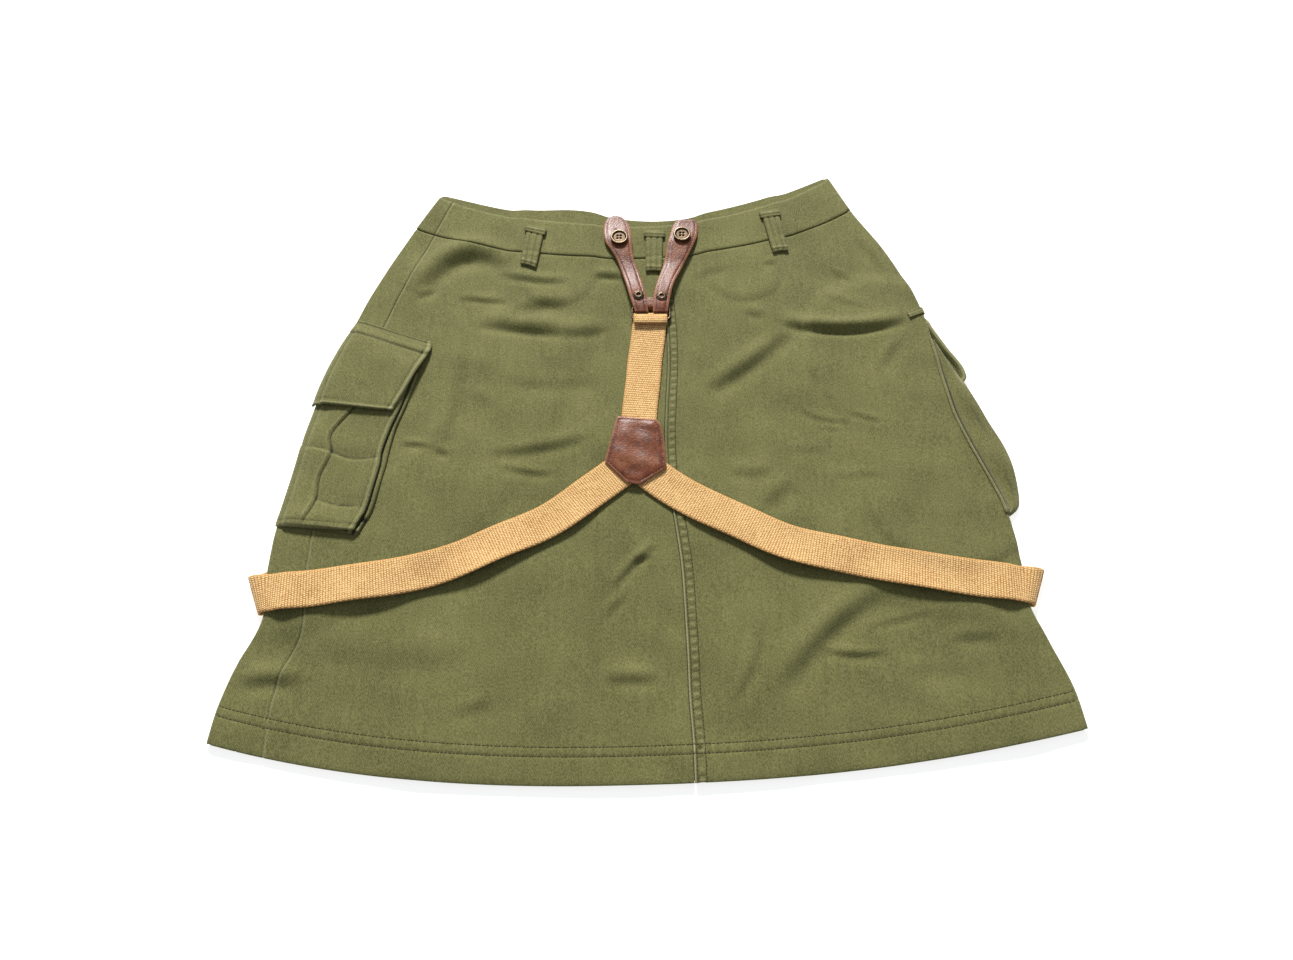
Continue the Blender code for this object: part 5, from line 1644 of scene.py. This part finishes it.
@dataclass(frozen=True)
class BrassWork:
    """The buttons, the eyelets and the wire ring."""

    form: SkirtForm
    radius: float = 8.2
    buttons: tuple[tuple[str, float, float], ...] = (
        ("left_button", -27.6, 203.2), ("right_button", 31.4, 207.4),
    )
    eyelets: tuple[tuple[str, float, float], ...] = (
        ("left_eyelet", -9.3, 136.8), ("right_eyelet", 11.8, 135.4),
    )
    over_head: float = 5.6
    eyelet_level: float = 14.8
    hole_at: float = 2.0
    ring_size: tuple[float, float] = (36.0, 14.0)
    ring_centre: tuple[float, float, float] = (2.0, 120.5, 9.8)
    wire: float = 0.9

    def button(self, x: float, y: float) -> Solid:
        """Turn a button with a raised rim, then sink four holes into its middle."""
        r = self.radius
        outer = np.array([
            (0.0, 0.0), (r * 0.4, 0.0), (r * 0.85, 0.5), (r * 0.97, 1.2), (r, 1.9), (r * 0.98, 2.5),
            (r * 0.92, 2.9), (r * 0.85, 3.0), (r * 0.78, 2.8), (r * 0.72, 2.1), (r * 0.68, 1.8),
        ])
        inner = np.stack([np.linspace(r * 0.64, 0.0, 22), np.full(22, 1.75)], axis=1)
        profile = np.concatenate([outer, inner])
        share = profile[:, 0] / r
        # The rim's top is paler, scuffed; the rim's inner wall is darker
        wear = 0.9 * bell(share - 0.87, 0.10) - 0.9 * bell(share - 0.68, 0.06) * (profile[:, 1] > 1.0)
        level = float(self.form.smooth_back(np.array(x), np.array(y), 0.0)[2]) + self.over_head
        solid = turned(profile, 56, (x, y, level), wear)
        dx, dy = np.abs(solid.points[:, 0] - x), np.abs(solid.points[:, 1] - y)
        on_top = solid.points[:, 2] > level + 1.2
        hole = bell(np.hypot(dx - self.hole_at * 0.75, dy - self.hole_at * 0.75), 0.75) * on_top
        solid.points[:, 2] -= 1.1 * hole
        # Painted shade in the sunk holes
        solid.marks["wear"] = solid.marks["wear"] - 1.6 * hole
        return solid

    def eyelet(self, x: float, y: float) -> Solid:
        """Turn an eyelet: a rolled ring round its hole, with petals pressed into its flange."""
        profile = np.array([
            (1.8, -0.6), (2.6, -0.2), (4.5, -0.2), (5.0, 0.15), (4.8, 0.6), (4.1, 0.9), (3.4, 1.0),
            (2.9, 1.3), (2.3, 1.4), (1.9, 1.1), (1.7, 0.5),
        ])
        # Painted shade inside the hole and in the furrow round the roll; paler on the rolled top
        wear = np.array([-1.0, -0.5, -0.3, 0.1, 0.2, 0.0, -0.5, 0.3, 0.4, -0.2, -1.2])
        solid = turned(profile, 40, (x, y, self.eyelet_level), wear)
        turn = np.arctan2(solid.points[:, 1] - y, solid.points[:, 0] - x)
        gap = np.hypot(solid.points[:, 0] - x, solid.points[:, 1] - y)
        petals = np.cos(8 * turn) * bell(gap - 3.9, 0.8)
        solid.points[:, 2] += 0.12 * petals
        # The pressed petals alternate paler and darker
        solid.marks["wear"] = solid.marks["wear"] + 0.6 * petals
        return solid

    def ring(self) -> Solid:
        """Carry the wire round a rectangle with round corners."""
        corner, points = 2.4, []
        half_x, half_y = (size / 2 - self.wire - corner for size in self.ring_size)
        for quarter, (cx, cy) in enumerate(((1, 1), (-1, 1), (-1, -1), (1, -1))):
            turn = np.radians(90 * quarter + np.linspace(0, 90, 9))
            arc = [cx * half_x + corner * np.cos(turn), cy * half_y + corner * np.sin(turn), 0 * turn]
            points.append(np.stack(arc, axis=1))
        return closed_tube(np.concatenate(points) + self.ring_centre, self.wire, 14)

    def build(self) -> list[bpy.types.Object]:
        """Build the brass pieces."""
        made = [self.button(x, y).make(name + "_brass", Finish.BRASS, [name]) for name, x, y in self.buttons]
        made += [self.eyelet(x, y).make(name + "_brass", Finish.BRASS, [name]) for name, x, y in self.eyelets]
        made.append(self.ring().make("ring_brass", Finish.BRASS, ["wire_ring"]))
        return made


@dataclass(frozen=True)
class Sewing:
    """The rows of stitches on the cloth."""

    form: SkirtForm
    pitch: float = 3.0
    length: float = 2.3
    width: float = 0.55

    def row(self, x: Array, y: Array, lift: float, pitch: float) -> tuple[Array, Array, Array]:
        """Space stitches evenly along a line on the back.

        Args:
            x: the line's x.
            y: the line's y.
            lift: how far above the cloth the thread's middle is.
            pitch: from one stitch to the next.

        Returns:
            The middle, direction and surface normal of each stitch.
        """
        points = self.form.on_back(x, y, lift)
        step = np.linalg.norm(np.diff(points, axis=0), axis=1)
        reach = np.concatenate([[0.0], np.cumsum(step)])
        at = np.arange(pitch / 2, reach[-1], pitch)
        middles = np.stack([np.interp(at, reach, points[:, k]) for k in range(3)], axis=1)
        ahead = np.stack([np.interp(at + 0.5, reach, points[:, k]) for k in range(3)], axis=1)
        east = self.form.on_back(middles[:, 0] + 1.0, middles[:, 1], lift)
        north = self.form.on_back(middles[:, 0], middles[:, 1] + 1.0, lift)
        return middles, ahead - middles, unit(np.cross(east - middles, north - middles))

    def hem_rows(self) -> Solid:
        """Sew the two rows of the hem."""
        form, parts = self.form, []
        for up in (form.hem_row, form.hem_depth):
            height = np.array(up / form.length)
            x = np.linspace(float(form.side(height, 1)) + 3, float(form.side(height, 2)) - 3, 900)
            row = self.row(x, form.plan_y(x, height), 0.25, self.pitch)
            parts.append(stitch_grains(*row, self.length, self.width))
        return joined(parts)

    def back_seam(self) -> Solid:
        """Sew the two rows of the felled centre back seam."""
        form, parts = self.form, []
        for past in form.fell_rows:
            height = np.linspace(0.003, form.waist_seam - 0.003, 700)
            x = form.share_x(height, form.centre_back) + past
            row = self.row(x, form.plan_y(x, height), 0.22, self.pitch)
            parts.append(stitch_grains(*row, self.length, self.width))
        return joined(parts)

    def darts(self) -> Solid:
        """Sew the two darts below the outer loops."""
        parts = []
        for line in (((-110, 174), (-114, 137), (-117, 92)), ((129, 190), (137, 158), (147, 121))):
            points = resample(line, 0.8)
            row = self.row(points[:, 0], points[:, 1], 0.1, 3.4)
            parts.append(stitch_grains(*row, 2.0, 0.5))
        return joined(parts)

    def build(self) -> list[bpy.types.Object]:
        """Build the rows of stitches."""
        return [
            self.hem_rows().make("hem_stitches", Finish.DARK_THREAD),
            self.back_seam().make("back_seam_stitches", Finish.DARK_THREAD),
            self.darts().make("dart_stitches", Finish.PALE_THREAD),
        ]


@dataclass(frozen=True)
class Studio:
    """The floor, the light and the camera."""

    camera: tuple[float, float, float] = (-0.0015, -0.38422, 0.744)
    pitch: float = 25.0
    lens: float = 27.035
    floor_size: float = 8.0
    paper: Colour = (0.86, 0.86, 0.86)

    def floor(self) -> None:
        """Lay the pale floor."""
        half = self.floor_size / 2
        corners = [
            (-half, -half, -0.0003), (half, -half, -0.0003), (half, half, -0.0003), (-half, half, -0.0003)
        ]
        mesh = bpy.data.meshes.new("floor")
        mesh.from_pydata(corners, [], [(0, 1, 2, 3)])
        material = bpy.data.materials.new("paper")
        material.use_nodes = True
        material.node_tree.nodes["Principled BSDF"].inputs["Base Color"].default_value = (*self.paper, 1.0)
        material.node_tree.nodes["Principled BSDF"].inputs["Roughness"].default_value = 0.9
        material.node_tree.nodes["Principled BSDF"].inputs["Emission Color"].default_value = (
            1.0, 1.0, 1.0, 1.0
        )
        material.node_tree.nodes["Principled BSDF"].inputs["Emission Strength"].default_value = 0.7
        mesh.materials.append(material)
        item = bpy.data.objects.new("floor", mesh)
        bpy.context.scene.collection.objects.link(item)

    def lamp(self, name: str, place: Sequence[float], size: float, power: float, colour: Colour) -> None:
        """Hang a square lamp that looks at the middle of the skirt."""
        light = bpy.data.lights.new(name, "AREA")
        light.size = size
        light.energy = power
        light.color = colour
        item = bpy.data.objects.new(name, light)
        item.location = place
        aim = -np.asarray(place, float)
        level = math.hypot(aim[0], aim[1])
        item.rotation_euler = (math.atan2(level, -aim[2]), 0.0, math.atan2(-aim[0], aim[1]))
        bpy.context.scene.collection.objects.link(item)

    def build(self) -> None:
        """Set up the floor, the lamp, the room's light and the camera."""
        self.floor()
        self.lamp("key", (-0.6, 4.4, 2.9), 0.85, 431.0, (1.0, 0.985, 0.96))
        world = bpy.data.worlds.new("room")
        world.use_nodes = True
        world.node_tree.nodes["Background"].inputs["Color"].default_value = (0.94, 0.97, 1.0, 1.0)
        world.node_tree.nodes["Background"].inputs["Strength"].default_value = 0.30
        bpy.context.scene.world = world
        bpy.context.scene.view_settings.view_transform = "Standard"
        data = bpy.data.cameras.new("camera")
        data.sensor_width = 36.0
        data.lens = self.lens
        data.clip_start = 0.01
        item = bpy.data.objects.new("camera", data)
        item.location = self.camera
        item.rotation_euler = (math.radians(self.pitch), 0.0, 0.0)
        bpy.context.scene.collection.objects.link(item)
        bpy.context.scene.camera = item


def dress_hidden_pieces() -> None:
    """Give the hidden pieces of the front their leather and brass."""
    finishes = {
        "front_left_tab": Finish.HIDE, "front_right_tab": Finish.HIDE,
        "front_left_button": Finish.BRASS, "front_right_button": Finish.BRASS,
    }
    for name, finish in finishes.items():
        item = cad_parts[name]
        item.data.materials.clear()
        item.data.materials.append(finish.material())


def main() -> None:
    """Build the skirt piece by piece and set up the studio."""
    logging.basicConfig(level=logging.INFO, format="%(name)s %(message)s")
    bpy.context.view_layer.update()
    form = SkirtForm()
    for part in (SkirtBody(form), BeltLoops(form), LeftPocket(form), RightPocket(form), Straps(form)):
        log.info("%s: %d pieces", type(part).__name__, len(part.build()))
    for part in (LeatherWork(form), BrassWork(form), Sewing(form)):
        log.info("%s: %d pieces", type(part).__name__, len(part.build()))
    dress_hidden_pieces()
    Studio().build()


if __name__ == "__main__":
    main()
